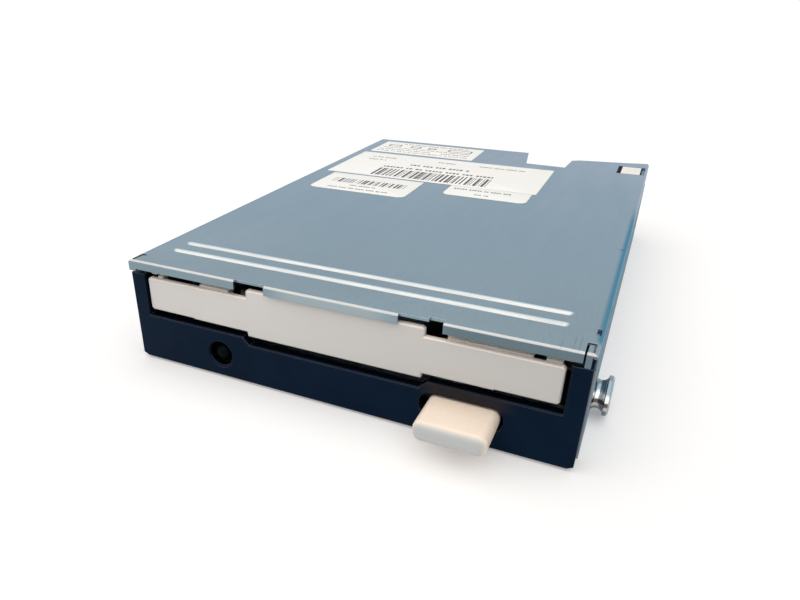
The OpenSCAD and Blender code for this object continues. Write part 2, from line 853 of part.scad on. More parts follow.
module top_cover() {
  placed(steel) difference() {
    union() {
      translate([0, cover_length, 0])
        rotate([90, 0, 0])
          linear_extrude(height = cover_length)
            cover_section();
      // Front lip, round the left corner, and its longer right end
      block([-flange_x + bend_r, 0, lip_bottom], [corner_slot[0] + 0.2, cover_sheet, top_z - eps]);
      block([-flange_x + 0.3, 0, lip_bottom - lip_left_drop],
        [-flange_x + lip_left, cover_sheet, top_z - 0.3]);
      block([corner_slot[0], 0, lip_bottom - lip_end_drop],
        [corner_slot[1] - 0.2, cover_sheet, top_z - eps]);
      // Undersides of the beads
      for (k = [0, 1])
        intersection() {
          bead(bead_first + k * bead_pitch, bead_radius + cover_sheet);
          block([-half_w, 0, top_z - 2], [half_w, bead_first + 3 * bead_pitch, top_z - cover_sheet / 2]);
        }
    }
    for (k = [0, 1])
      bead(bead_first + k * bead_pitch, bead_radius);
    // A slit frees the right end of the lip
    block([corner_slot[0], -1, lip_bottom - 2],
      [corner_slot[0] + lip_slit, corner_slot[2] + eps, top_z + 1]);
    block([flange_x - cover_sheet - 0.2, -1, lip_bottom - 1],
      [half_w + 1, cover_sheet + eps, top_z - bend_r]);
    // The flanges start behind the bezel
    both_sides() {
      block([flange_x - cover_sheet - 0.2, -1, flange_bottom - 1],
        [half_w + 1, cover_sheet + eps, lip_bottom - lip_left_drop]);
      block([flange_x - cover_sheet - 0.2, cover_sheet, flange_bottom - 1],
        [half_w + 1, wall_front + 0.2, top_z - bend_r]);
      block([corner_slot[0], corner_slot[2], top_z - 2], [corner_slot[1], corner_slot[3], top_z + 1]);
      for (y = clip_rows)
        block([flange_x - cover_sheet - 1, y - bump_half - bump_play, bump_bottom - bump_play],
          [half_w + 1, y + bump_half + bump_play, bump_top + bump_play]);
    }
    // Rounded front bend
    difference() {
      block([-half_w, -1, top_z - front_bend_r], [half_w, front_bend_r, top_z + 1]);
      rod_x(front_bend_r, top_z - front_bend_r, -half_w - 1, half_w + 1, front_bend_r);
    }
    // Notches in the lip
    block([notch_left[0], -1, lip_bottom - 1], [notch_left[1], cover_sheet + 0.1, top_z + 1]);
    block([notch_right[0], -1, lip_bottom - 1], [notch_right[1], cover_sheet + 0.1, top_z + 1]);
    block([notch_deep[0], -1, lip_bottom - 1], [notch_deep[1], notch_deep[2], top_z + 1]);
    // Small slot and relief at the front corners
    block([edge_slot[0], edge_slot[2], top_z - 2], [edge_slot[1], edge_slot[3], top_z + 1]);
    block([-half_w - 1, edge_relief[1], top_z - bend_r], [edge_relief[0], edge_relief[2], top_z + 1]);
    // Slanted patch by the right edge
    translate(slant_place)
      rotate([0, slant_angle, 0])
        cube(slant_size);
    // Rear edge with its notch
    plate(rear_edge, top_z - 3, top_z + 1);
    block([-half_w - 1, cover_rear, flange_bottom - 1],
      [rear_edge_left + 0.01, cover_length + 1, top_z + 1]);
    block([rear_window[0], rear_window[2], top_z - 3], [rear_window[1], rear_window[3], top_z + 1]);
  }
}

// Rounded front corners, square rear corners
module label(x0, x1, y0, y1, r) {
  translate([0, 0, top_z])
    linear_extrude(height = label_paper) {
      translate([x0, y0 + r])
        square([x1 - x0, y1 - y0 - r]);
      translate([x0 + r, y0])
        square([x1 - x0 - 2 * r, r + eps]);
      for (x = [x0 + r, x1 - r])
        translate([x, y0 + r])
          circle(r = r);
    }
}

module paper_labels() {
  placed(white) {
    for (s = label_spots)
      label(s[0], s[1], s[2], s[3], s[4]);
  }
}

// Front

module bezel_outline() {
  c = bezel_corner;
  mid = slot_edge_z - slot_relief;
  panel([
    [-bezel_half, bezel_foot + c / 2], [-bezel_half + c, bezel_foot],
    [bezel_half - c, bezel_foot], [bezel_half, bezel_foot + c / 2],
    [bezel_half, pillar_top], [slot_half, pillar_top], [slot_half, slot_edge_z],
    [relief_end, slot_edge_z], [relief_half, mid], [-relief_half, mid], [-relief_end, slot_edge_z],
    [-slot_half, slot_edge_z], [-slot_half, pillar_top], [-bezel_half, pillar_top]
  ], bezel_face, bezel_back);
}

module front_bezel() {
  placed(dark) difference() {
    union() {
      bezel_outline();
      block([bezel_foot_inset - bezel_half, bezel_back - 0.5, bezel_foot],
        [bezel_half - bezel_foot_inset, bezel_foot_rear, bezel_foot_top]);
      block([button_x - shelf_left, bezel_foot_rear - 0.7, bezel_foot],
        [button_x + shelf_right, shelf_rear, bezel_foot_top]);
      both_sides() {
        block([bezel_half - bezel_side, bezel_back - 0.5, bezel_foot + bezel_corner / 2],
          [bezel_half, wall_front - 0.2, pillar_top]);
        block([ear_in, bezel_back - 1.2, ear_bottom], [ear_out, ear_rear, ear_top]);
        block([bezel_arm[0], bezel_back - 0.5, bezel_hook_z[0]],
          [bezel_arm[1], bezel_arm_rear, bezel_hook_z[1]]);
        block([ear_out, bezel_hook_y[0], bezel_hook_z[0]],
          [bezel_hook_tip, bezel_hook_y[1], bezel_hook_z[1]]);
      }
    }
    rod_y(lamp_x, lamp_z, bezel_face - 1, bezel_back + 1, lamp_hole_r);
    translate([lamp_x, bezel_face - 0.01, lamp_z])
      rotate([-90, 0, 0])
        cylinder(h = lamp_bevel, r1 = lamp_hole_r + lamp_bevel, r2 = lamp_hole_r);
    translate([(button_hole[0] + button_hole[1]) / 2, bezel_face - 1, button_z])
      rotate([-90, 0, 0])
        linear_extrude(height = bezel_panel + 2)
          rounded(button_hole[1] - button_hole[0], button_height + 2 * button_gap, button_hole_r);
    edge_x(-relief_half, relief_half, bezel_face, slot_edge_z - slot_relief, slot_chamfer);
    edge_x(-slot_half, -relief_end, bezel_face, slot_edge_z, slot_chamfer);
    edge_x(relief_end, slot_half, bezel_face, slot_edge_z, slot_chamfer);
    both_sides()
      rod_x(hinge_y, hinge_z, ear_in - 1, ear_out + 1, hinge_hole_r);
  }
}

module door_outline() {
  c = door_corner;
  step = door_step - door_shift;
  low = door_side_bottom + door_step_rise;
  left = door_mid_left;
  right = door_mid_right;
  panel([
    [-door_half, low + c], [c - door_half, low], [-step, low], [-step, door_side_bottom],
    [left - 0.2, door_side_bottom], [left, door_mid_bottom],
    [right - 0.2, door_mid_bottom], [right, door_side_bottom],
    [step, door_side_bottom], [step, low], [door_half - c, low], [door_half, low + c],
    [door_half, door_side_top - c], [door_half - c, door_side_top], [right, door_side_top],
    [right, door_mid_top - c], [right - c, door_mid_top],
    [left + c, door_mid_top], [left, door_mid_top - c],
    [left, door_side_top], [c - door_half, door_side_top], [-door_half, door_side_top - c]
  ], door_front, door_back);
}

module door_flap() {
  placed(pale) translate([door_shift, 0, 0]) {
    door_outline();
    for (h = hinge_bars) {
      rod_x(hinge_y, hinge_z, h[0], h[1], hinge_bar_r);
      block([h[0] + 0.3, door_back - 0.3, door_side_top - 1], [h[1] - 0.3, hinge_y + 0.4, hinge_rib_top]);
    }
    rod_x(hinge_y, hinge_z, -hinge_end - door_shift, 1 - door_hub, hinge_pin_r);
    rod_x(hinge_y, hinge_z, door_hub - 1, hinge_end - door_shift, hinge_pin_r);
  }
}

function door_coil() = [
  for (p = coil(door_spring_r, 4, door_spring_pitch, 200, 8))
    [p[1] - door_half, hinge_y + p[0], hinge_z + p[2]]
];

module door_spring() {
  c = door_coil();
  n = len(c) - 1;
  placed(bright)
    wire(concat([c[0] + door_spring_leg], [for (i = [1 : n]) c[i]]), door_spring_wire, [1, 0, 0]);
}

// Square with all four corners rounded, about the middle
module rounded(w, h, r) {
  square([w - 2 * r, h], center = true);
  square([w, h - 2 * r], center = true);
  for (i = [-1, 1])
    for (k = [-1, 1])
      translate([i * (w / 2 - r), k * (h / 2 - r)])
        circle(r = r);
}

// The button is rounded as seen from the front, from the side and from above
module button_shape() {
  reach = button_out + 2;
  translate([button_x, -button_out + reach, button_z])
    intersection() {
      rotate([90, 0, 0])
        linear_extrude(height = 2 * reach, center = true)
          rounded(button_width, button_height, button_round);
      rotate([90, 0, 90])
        linear_extrude(height = 2 * button_width, center = true)
          rounded(2 * reach, button_height, button_nose);
      linear_extrude(height = 2 * button_height, center = true)
        rounded(button_width, 2 * reach, button_nose + 0.4);
      translate([-button_width, -2 * reach, -button_height])
        cube([2 * button_width, 2 * reach - 0.5, 2 * button_height]);
    }
}

module eject_button() {
  placed(cream) {
    button_shape();
    difference() {
      block([button_x - shank_half, button_round - shank_wall, slide_z - shank_wall],
        [button_x + shank_half, shank_end, slide_top + shank_roof]);
      block([button_x - tab_half - eps, shank_slot_front, slide_z - eps],
        [button_x + tab_half + eps, shank_end + 1, slide_top + eps]);
    }
  }
}

// Loading

module cam_slot(y) {
  slot_x([y, pin_z], [y + slide_travel, pin_z - load_drop], holder_pin_r + pin_play, slide_out - 2,
    slide_out + 1);
}

module slide_plate() {
  placed(bright) difference() {
    union() {
      block([-slide_out, slide_front, slide_z], [slide_out, slide_front + slide_bar, slide_top]);
      block([button_x - tab_half, shank_slot_front + eps, slide_z],
        [button_x + tab_half, slide_front + 1, slide_top]);
      both_sides() {
        block([slide_rail_in, slide_front, slide_z], [slide_out, slide_rear, slide_top]);
        block([slide_out - slide_sheet, slide_wall[0], slide_z],
          [slide_out, slide_wall[1], slide_wall_top]);
        block([hook_x - hook_half, hook_y, slide_z], [slide_rail_in + 1, hook_y + slide_sheet, hook_top]);
        block([hook_x - hook_half, hook_y - hook_root, slide_z],
          [slide_rail_in + 1, hook_y + slide_sheet, slide_top]);
      }
    }
    both_sides() {
      for (y = pin_rows)
        cam_slot(y);
      // Room for the tips of the screws in the rear side holes
      block([slide_out - 1.2, side_rows[1] - screw_room, slide_z - 1],
        [slide_out + 1, slide_rear + 1, side_hole_z + screw_room]);
    }
  }
}

// From the hook loop round the chassis post to the tab of the slide plate
function slide_spring_path() = concat(
  [for (a = [150 : 30 : 360]) [loop_r * cos(a), spring_post_y + loop_r * sin(a), spring_z]],
  [for (k = [0 : spring_coil_steps])
    [spring_r * cos(45 * k - 90), spring_post_y + 4 + spring_coil_length * k / spring_coil_steps,
      spring_z + spring_r * sin(45 * k - 90)]],
  [[0, hook_y - 2.2, spring_z - 0.6], [0, hook_y - 0.35, spring_z]]
);

module slide_springs() {
  placed(bright)
    both_sides()
      translate([hook_x, 0, 0])
        wire(slide_spring_path(), spring_wire, [0, 0, 1]);
}

module disk_holder() {
  placed(steel) difference() {
    union() {
      block([-holder_out, holder_front, bay_roof], [holder_out, holder_rear, holder_top]);
      both_sides() {
        block([holder_in, holder_front, holder_bottom], [holder_out, holder_rear, holder_top]);
        block([holder_floor_in, holder_front, holder_bottom], [holder_out, holder_rear, bay_floor]);
      }
    }
    block([-head_slot_half, head_slot_front, bay_roof - 1],
      [head_slot_half, holder_rear + 1, holder_top + 1]);
    both_sides() {
      block([holder_floor_in - 1, holder_notch[0], holder_bottom - 1],
        [holder_in - holder_sheet, holder_notch[1], bay_floor + eps]);
      for (y = pin_rows)
        rod_x(y, pin_z, holder_in - 1, holder_out + 1, holder_pin_r + 0.01);
      // Openings that lighten the roof
      block([roof_window_x[0], roof_window_y[0], bay_roof - 1],
        [roof_window_x[1], roof_window_y[1], holder_top + 1]);
    }
    // Path of the lever pin
    translate([lever_x, lever_y, bay_roof - 1])
      rotate([0, 0, lever_angle - lever_path_extra])
        rotate_extrude(angle = lever_swing + 2 * lever_path_extra)
          translate([lever_r - lever_path / 2, 0])
            square([lever_path, holder_sheet + 2]);
  }
}

module holder_pins() {
  placed(bright)
    both_sides()
      for (y = pin_rows)
        rod_x(y, pin_z, holder_in, pin_end, holder_pin_r);
}

module shutter_lever() {
  placed(black)
    translate([lever_x, lever_y, 0])
      difference() {
        rotate([0, 0, lever_angle]) {
          post(0, 0, lever_z, lever_top, lever_hub_r);
          post(lever_r, 0, lever_z, lever_top, lever_tip_r);
          plate([[0, 0.2 - lever_hub_r], [lever_r, 0.1 - lever_tip_r], [lever_r, lever_tip_r - 0.1],
            [0, lever_hub_r - 0.2]], lever_z, lever_top);
          post(lever_r, 0, disk_up_z + 0.3, lever_z + 0.5, lever_pin_r);
        }
        post(0, 0, lever_z - 1, lever_top + 1, post_r + post_play);
      }
}

module lever_post() {
  placed(bright) {
    post(lever_x, lever_y, web_bottom + 0.2, web_top + 0.5, post_r);
    post(lever_x, lever_y, web_top, lever_z - run_gap, collar_r);
    post(lever_x, lever_y, lever_z - 0.4, lever_top + 0.4, post_r);
    post(lever_x, lever_y, lever_top + run_gap, lever_top + run_gap + post_head, post_head_r);
  }
}

function lever_coil() = [
  for (p = coil(lever_spring_r, 4, lever_spring_pitch, 120, 10))
    [lever_x + p[0], lever_y + p[2], lever_spring_z + p[1]]
];

module lever_spring() {
  c = lever_coil();
  placed(bright)
    wire(concat([c[0] + lever_spring_leg], [for (i = [1 : len(c) - 1]) c[i]]), spring_wire, [0, 0, 1]);
}

// Outside hardware

module stud_half() {
  collar = stud_neck_r + stud_collar;
  end = stud_neck + stud_flange;
  rotate([0, 90, 0])
    difference() {
      union() {
        translate([0, 0, -wall - 1.2])
          cylinder(h = wall + 1.4, r = hole_r - 0.03);
        rotate_extrude()
          difference() {
            polygon([
              [0, 0], [collar, 0], [collar, stud_neck], [stud_flange_r - 0.25, stud_neck],
              [stud_flange_r, stud_neck + 0.25], [stud_flange_r, end - stud_bevel],
              [stud_flange_r - stud_bevel, end], [0, end]
            ]);
            translate([stud_neck_r + stud_groove_r, stud_neck / 2])
              circle(r = stud_groove_r);
          }
      }
      translate([0, 0, end])
        for (a = [0, 90])
          rotate([0, 0, a])
            cube(stud_cross, center = true);
    }
}

module mounting_studs() {
  placed(bright)
    both_sides()
      translate([half_w, side_hole_y, side_hole_z])
        stud_half();
}

module cover_clip() {
  placed(white) {
    block([clip_in, clip_front, clip_head_bottom], [clip_out, rear_window[3] - 0.2, top_z - 0.1]);
    block([clip_leg_in, clip_front, web_top], [clip_out, clip_front + clip_leg, clip_head_bottom + 0.5]);
  }
}

module lamp_lens() {
  placed(lamp_green) {
    rod_y(lamp_x, lamp_z, lamp_front, lamp_rear, lamp_r);
    translate([lamp_x, lamp_front, lamp_z])
      sphere(r = lamp_r);
  }
}

module lamp_legs() {
  placed(bright)
    for (x = [lamp_x - lamp_leg_x, lamp_x + lamp_leg_x]) {
      block([x - lamp_leg, lamp_rear, lamp_z - lamp_leg],
        [x + lamp_leg, lamp_leg_rear, lamp_z + lamp_leg]);
      block([x - lamp_leg, lamp_leg_rear - 2 * lamp_leg, board_top],
        [x + lamp_leg, lamp_leg_rear, lamp_z + lamp_leg]);
    }
}

module lamp_holder() {
  placed(black) difference() {
    block([lamp_x - lamp_box_half, lamp_box[0], board_top],
      [lamp_x + lamp_box_half, lamp_box[1], lamp_box_top]);
    rod_y(lamp_x, lamp_z, 0, lamp_rear, lamp_r + 0.02);
    for (x = [lamp_x - lamp_leg_x, lamp_x + lamp_leg_x])
      let (h = lamp_leg + lamp_leg_play)
        block([x - h, lamp_rear - 1, board_top - 1], [x + h, lamp_leg_rear + lamp_leg_play, lamp_z + h]);
  }
}

// Boards

module motor_board() {
  placed(board_green) difference() {
    plate(motor_board_edge, board_bottom, board_top);
    post(0, spindle_y, board_bottom - 1, board_top + 1, spindle_hole_r);
    for (p = motor_screws)
      post(p[0], p[1], board_bottom - 1, board_top + 1, clear_r);
  }
}

module board_screw(p) {
  difference() {
    union() {
      post(p[0], p[1], board_bottom - eps, web_top - 0.3, shank_r);
      post(p[0], p[1], board_bottom - head_height, board_bottom, head_r);
    }
    translate([p[0], p[1], board_bottom - head_height])
      for (a = [0, 90])
        rotate([0, 0, a])
          cube([driver_slot, 2.2, 0.8], center = true);
  }
}

module motor_board_screws() {
  placed(bright)
    for (p = motor_screws)
      board_screw(p);
}

module main_board() {
  placed(board_green) difference() {
    plate(main_board_edge, board_bottom, board_top);
    for (p = main_screws)
      post(p[0], p[1], board_bottom - 1, board_top + 1, clear_r);
  }
}

module main_board_screws() {
  placed(bright)
    for (p = main_screws)
      board_screw(p);
}

// Body and four lead rows of a square chip, or two rows of a long one, under a board
module chip(x, y, w, d, rows) {
  a = w / 2;
  b = d / 2;
  lead_z = board_bottom - lead_height;
  block([x - a, y - b, board_bottom - chip_height], [x + a, y + b, board_bottom - chip_lift]);
  block([x - a + lead_margin, y - b - lead_reach, lead_z],
    [x + a - lead_margin, y + b + lead_reach, board_bottom]);
  if (rows > 2)
    block([x - a - lead_reach, y - b + lead_margin, lead_z],
      [x + a + lead_reach, y + b - lead_margin, board_bottom]);
}

module control_chips() {
  placed(black) {
    for (c = chip_spots)
      chip(c[0], c[1], c[2], c[3], c[4]);
  }
}

module board_parts() {
  placed(ceramic) {
    for (r = part_rows)
      for (k = [0 : r[2] - 1])
        block([r[0] + r[1] * k, r[3], board_bottom - part_size[2]],
          [r[0] + r[1] * k + part_size[0], r[3] + part_size[1], board_bottom]);
  }
}

function header_pin_x(k) = header_x + (k - (header_cols - 1) / 2) * header_pitch;
function leg_y(row) = header_front - leg_front - leg_pitch * row;
function power_pin_x(k) = power_x + (k - (power_count - 1) / 2) * power_pitch;

module header_pins_at(grow) {
  for (k = [0 : header_cols - 1])
    for (row = [0, 1])
      let (x = header_pin_x(k), z = row_low + row * header_pitch, h = pin_half + grow)
        block([x - h, leg_y(row), z - h], [x + h, pin_rear, z + h]);
}

module interface_header() {
  placed(black) difference() {
    block([header_x - header_half, header_front, board_top],
      [header_x + header_half, header_rear, header_top]);
    header_pins_at(0.02);
  }
}

module interface_pins() {
  placed(gold) {
    header_pins_at(0);
    for (k = [0 : header_cols - 1])
      for (row = [0, 1])
        let (x = header_pin_x(k), y = leg_y(row))
          block([x - pin_half, y, board_top],
            [x + pin_half, y + 2 * pin_half, row_low + row * header_pitch + pin_half]);
  }
}

module power_pins_at(grow) {
  for (k = [0 : power_count - 1])
    let (x = power_pin_x(k), h = pin_half + grow)
      block([x - h, power_front - 1, power_pin_z - h], [x + h, pin_rear - 0.6, power_pin_z + h]);
}

module power_header() {
  placed(white) difference() {
    union() {
      block([power_x - power_half, power_front, board_top],
        [power_x + power_half, power_front + power_back, power_top]);
      block([power_x - power_half, power_front, board_top],
        [power_x + power_half, power_rear, board_top + 1]);
      for (x = [power_x - power_half + 0.5, power_x + power_half - 0.5])
        block([x - 0.5, power_front, board_top], [x + 0.5, power_rear, power_side_top]);
    }
    power_pins_at(0.02);
  }
}

module power_pins() {
  placed(gold) {
    power_pins_at(0);
    for (k = [0 : power_count - 1])
      let (x = power_pin_x(k))
        block([x - pin_half, power_front - 1, board_top],
          [x + pin_half, power_front - 1 + 2 * pin_half, power_pin_z + pin_half]);
  }
}

// Cables

module flex_slit(x, y) {
  block([x - flex_half - eps, y - flex / 2 - 0.02, board_top + socket_wall],
    [x + flex_half + eps, y + flex / 2 + 0.02, socket_top + 0.6]);
}

module flex_sockets() {
  placed(cream) {
    difference() {
      block([-socket_half[0], flex_y - socket_half[1], board_top],
        [socket_half[0], flex_y + socket_half[1], socket_top]);
      flex_slit(0, flex_y);
    }
    difference() {
      block([stepper_flex_x - stepper_socket_half, stepper_socket_y[0], board_top],
        [stepper_flex_x + stepper_socket_half, stepper_socket_y[1], socket_top]);
      flex_slit(stepper_flex_x, stepper_flex_y);
    }
  }
}

// Quarter or half bend of a flat cable, about an axis along X
module flex_bend(y, z, r, from, sweep, half) {
  translate([-half, y, z])
    rotate([0, 90, 0])
      rotate([0, 0, from])
        rotate_extrude(angle = sweep)
          translate([r - flex / 2, 0])
            square([flex, 2 * half]);
}

module head_flex() {
  bend = 3;
  rise_y = flex_y - 2 * bend;
  low = flex_low_z;
  top = flex_loop_z;
  small = 1.5;
  placed(amber) {
    block([-flex_half, carriage_rear - 2.5, low - flex / 2], [flex_half, rise_y - small, low + flex / 2]);
    flex_bend(rise_y - small, low + small, small, 0, 90, flex_half);
    block([-flex_half, rise_y - flex / 2, low + small], [flex_half, rise_y + flex / 2, top]);
    flex_bend(rise_y + bend, top, bend, 90, 180, flex_half);
    block([-flex_half, flex_y - flex / 2, board_top + 1.2], [flex_half, flex_y + flex / 2, top]);
  }
}

module stepper_flex() {
  bend = 1.5;
  y = stepper_flex_y;
  z = stepper_flex_z;
  placed(amber)
    translate([stepper_flex_x, 0, 0]) {
      block([-flex_half, stepper_rear, z - flex / 2], [flex_half, y - bend, z + flex / 2]);
      flex_bend(y - bend, z - bend, bend, 90, 90, flex_half);
      block([-flex_half, y - flex / 2, board_top + 1.2], [flex_half, y + flex / 2, z - bend]);
    }
}

module board_link() {
  placed(amber)
    block([-link_half, link_y[0], board_bottom - flex], [link_half, link_y[1], board_bottom]);
}

// Switches

module switch_bodies() {
  placed(black)
    for (s = switch_spots)
      difference() {
        block([s[0] - switch_half, s[1] - switch_half, board_top],
          [s[0] + switch_half, s[1] + switch_half, switch_top]);
        post(s[0], s[1], plunger_floor, switch_top + 1, plunger_r + plunger_play);
      }
}

module plunger(k) {
  s = switch_spots[k];
  placed(cream) {
    post(s[0], s[1], plunger_floor + plunger_travel + run_gap, plunger_top - tip_bevel, plunger_r);
    translate([s[0], s[1], plunger_top - tip_bevel])
      cylinder(h = tip_bevel, r1 = plunger_r, r2 = plunger_r - 0.5);
  }
}

module plunger_protect() {
  plunger(0);
}

module plunger_density() {
  plunger(1);
}

module plunger_disk() {
  plunger(2);
}

// Spindle motor

module on_spindle(shade) {
  placed(shade)
    translate([0, spindle_y, 0])
      children();
}

module spindle_bearing() {
  on_spindle(gold) difference() {
    union() {
      post(0, 0, bearing_bottom, board_top + 0.5, bearing_low_r);
      post(0, 0, board_top, board_top + 1, bearing_flange_r);
      post(0, 0, board_top, core_top + 0.5, bearing_r - 0.02);
      post(0, 0, board_top, rotor_top - 1.6, bearing_neck_r);
    }
    post(0, 0, bearing_bottom + bearing_floor, rotor_top, shaft_r + 0.03);
  }
}

module stator_core() {
  on_spindle(core_grey)
    translate([0, 0, core_z])
      difference() {
        union() {
          cylinder(h = core_top - core_z, r = core_hub_r);
          intersection() {
            cylinder(h = core_top - core_z, r = core_r);
            for (k = [0 : teeth - 1])
              rotate([0, 0, 360 * k / teeth]) {
                translate([0, -tooth / 2, 0])
                  cube([core_r + 1, tooth, core_top - core_z]);
                translate([core_r - tooth_tip_depth, -tooth_tip / 2, 0])
                  cube([3, tooth_tip, core_top - core_z]);
              }
          }
        }
        translate([0, 0, -1])
          cylinder(h = core_top, r = bearing_r);
      }
}

module stator_coils() {
  a = tooth / 2;
  on_spindle(copper)
    for (k = [0 : teeth - 1])
      rotate([0, 0, 360 * k / teeth])
        difference() {
          block([coil_front, -a - coil_side, core_z - coil_wrap],
            [core_r - 1.5, a + coil_side, core_top + coil_wrap]);
          block([core_hub_r, -a - 0.02, core_z - 0.02], [core_r, a + 0.02, core_top + 0.02]);
        }
}

module rotor_cup() {
  on_spindle(steel) difference() {
    post(0, 0, rotor_bottom, rotor_top, rotor_r);
    difference() {
      post(0, 0, rotor_bottom - 1, rotor_top - rotor_disc, rotor_r - rotor_rim);
      post(0, 0, rotor_top - rotor_boss, rotor_top, rotor_boss_r);
    }
    post(0, 0, rotor_bottom - 1, rotor_top + 1, shaft_r + 0.01);
    post(drive_pin_at, 0, rotor_bottom, rotor_top + 1, drive_pin_r + drive_pin_play);
    // Balance openings
    for (a = [72 : 72 : 288])
      rotate([0, 0, a])
        post(balance_at, 0, rotor_bottom, rotor_top + 1, balance_r);
  }
}

module rotor_magnet() {
  on_spindle(black) difference() {
    post(0, 0, rotor_bottom + 0.1, rotor_top - rotor_disc - 0.3, magnet_r);
    post(0, 0, rotor_bottom - 1, rotor_top, magnet_in);
  }
}

module spindle_shaft() {
  on_spindle(bright) {
    post(0, 0, bearing_bottom + bearing_floor + eps, shaft_top - tip_bevel, shaft_r);
    translate([0, 0, shaft_top - tip_bevel])
      cylinder(h = tip_bevel, r1 = shaft_r, r2 = shaft_r - 0.5);
  }
}

module hub_plate() {
  on_spindle(bright) difference() {
    union() {
      post(0, 0, rotor_top, hub_top - hub_step, hub_r);
      post(0, 0, rotor_top, hub_top, hub_r - hub_rim);
    }
    post(0, 0, rotor_top - 1, hub_top + 1, shaft_r + 0.01);
    post(drive_pin_at, 0, rotor_top - 1, hub_top + 1, drive_pin_r + drive_pin_play);
  }
}

module drive_pin() {
  on_spindle(bright) {
    post(drive_pin_at, 0, drive_pin_bottom, drive_pin_top, drive_pin_r);
    post(drive_pin_at, 0, drive_pin_bottom, drive_pin_bottom + 0.6, drive_pin_r + 0.7);
  }
}

// Head positioner

module guide_rods() {
  placed(bright)
    both_sides()
      rod_y(rod_x_pos, rod_z, rod_front, rod_rear, rod_r);
}

module clamp(x, y, side) {
  z = rod_z + rod_r;
  difference() {
    block([min(x - clamp_half, x + side * clamp_reach), y[0] + eps, z],
      [max(x + clamp_half, x + side * clamp_reach), y[1] - eps, z + clamp_plate]);
    post(x + side * seat_screw, (y[0] + y[1]) / 2, z - 1, z + 2, tap_r + eps);
  }
}

module rod_clamps() {
  placed(bright)
    both_sides() {
      clamp(rod_x_pos, seat_front, 1);
      clamp(rod_x_pos, seat_rear, -1);
    }
}

module clamp_screw(x, y) {
  z = rod_z + rod_r + clamp_plate;
  middle = (y[0] + y[1]) / 2;
  post(x, middle, web_top + 0.2, z + eps, shank_r);
  difference() {
    post(x, middle, z, z + clamp_head, clamp_head_r);
    translate([x, middle, z + clamp_head])
      cube([1.6, 0.4, 0.6], center = true);
  }
}

module rod_screws() {
  placed(bright)
    both_sides() {
      clamp_screw(rod_x_pos + seat_screw, seat_front);
      clamp_screw(rod_x_pos - seat_screw, seat_rear);
    }
}

module stepper_bracket() {
  placed(steel) {
    difference() {
      union() {
        block([bracket_sides[0], bracket_front, web_top],
          [bracket_sides[1], bracket_rear, web_top + bracket_sheet]);
        block([screw_x - bracket_front_half, bracket_front, web_top],
          [screw_x + bracket_front_half, bracket_front + 1, bracket_front_top]);
        block([screw_x - bracket_rear_half, bracket_rear - bracket_sheet, web_top],
          [screw_x + bracket_rear_half, bracket_rear, screw_z + stepper_r + 0.4]);
      }
      rod_y(screw_x, screw_z, bracket_front - 1, bracket_front + 2, bearing_seat_r);
      rod_y(screw_x, screw_z, bracket_rear - 2, bracket_rear + 1, spigot_r);
      for (p = bracket_screws)
        post(p[0], p[1], web_top - 1, web_top + 2, clear_r);
    }
    for (p = bracket_screws) {
      post(p[0], p[1], web_bottom + 0.3, web_top + 1, shank_r);
      post(p[0], p[1], web_top + bracket_sheet - eps, web_top + bracket_sheet - eps + head_height,
        head_r);
    }
  }
}

module stepper_can() {
  placed(steel) difference() {
    union() {
      rod_y(screw_x, screw_z, bracket_rear, stepper_rear, stepper_r);
      rod_y(screw_x, screw_z, bracket_rear - bracket_sheet + eps, bracket_rear + 0.5, spigot_r - 0.04);
    }
    rod_y(screw_x, screw_z, bracket_rear + stepper_shell, stepper_rear - stepper_shell, stepper_bore_r);
    rod_y(screw_x, screw_z, bracket_rear - 2, bracket_rear + 2, screw_collar_r + 0.1);
    rod_y(screw_x, screw_z, stepper_rear - 2, stepper_rear - 0.4, journal_r + journal_play);
  }
}

module screw_bearing() {
  placed(gold) difference() {
    rod_y(screw_x, screw_z, bracket_front, bracket_front + 1.6, bearing_seat_r - 0.02);
    rod_y(screw_x, screw_z, bracket_front - 1, bracket_front + 3, journal_r + journal_play);
  }
}

// Radius of the thread around one section, with the groove at angle 0
function thread_r(a) = screw_root + (screw_r - screw_root) * min(1, max(0, (abs(a) - 30) / 45));

module lead_screw() {
  n = 16;
  length = screw_back - screw_front;
  start = 180 - 360 * (follower_y - screw_front) / screw_lead;
  placed(bright) {
    translate([screw_x, screw_front, screw_z])
      rotate([-90, 0, 0])
        rotate([0, 0, start])
          linear_extrude(height = length, twist = -360 * length / screw_lead, slices = 88, segments = n)
            polygon([for (k = [0 : n - 1]) let (a = 360 * k / n - 180) thread_r(a) * [cos(a), sin(a)]]);
    rod_y(screw_x, screw_z, bracket_front + eps, screw_front + 0.05, journal_r);
    rod_y(screw_x, screw_z, screw_back - 0.05, bracket_rear + 2, screw_collar_r);
    rod_y(screw_x, screw_z, bracket_rear + 1.9, stepper_rear - 0.6, journal_r);
  }
}

module stepper_rotor() {
  placed(black) difference() {
    rod_y(screw_x, screw_z, bracket_rear + 2.1, stepper_rear - 1.6, stepper_rotor_r);
    rod_y(screw_x, screw_z, bracket_rear, stepper_rear, journal_r + 0.01);
  }
}

module track_sensor() {
  placed(black) difference() {
    block([sensor_x[0], sensor_y[0], web_top], [sensor_x[1], sensor_y[1], sensor_top]);
    block([sensor_gap_x[0], sensor_y[0] - 1, sensor_gap_z[0]],
      [sensor_gap_x[1], sensor_y[1] + 1, sensor_gap_z[1]]);
  }
}

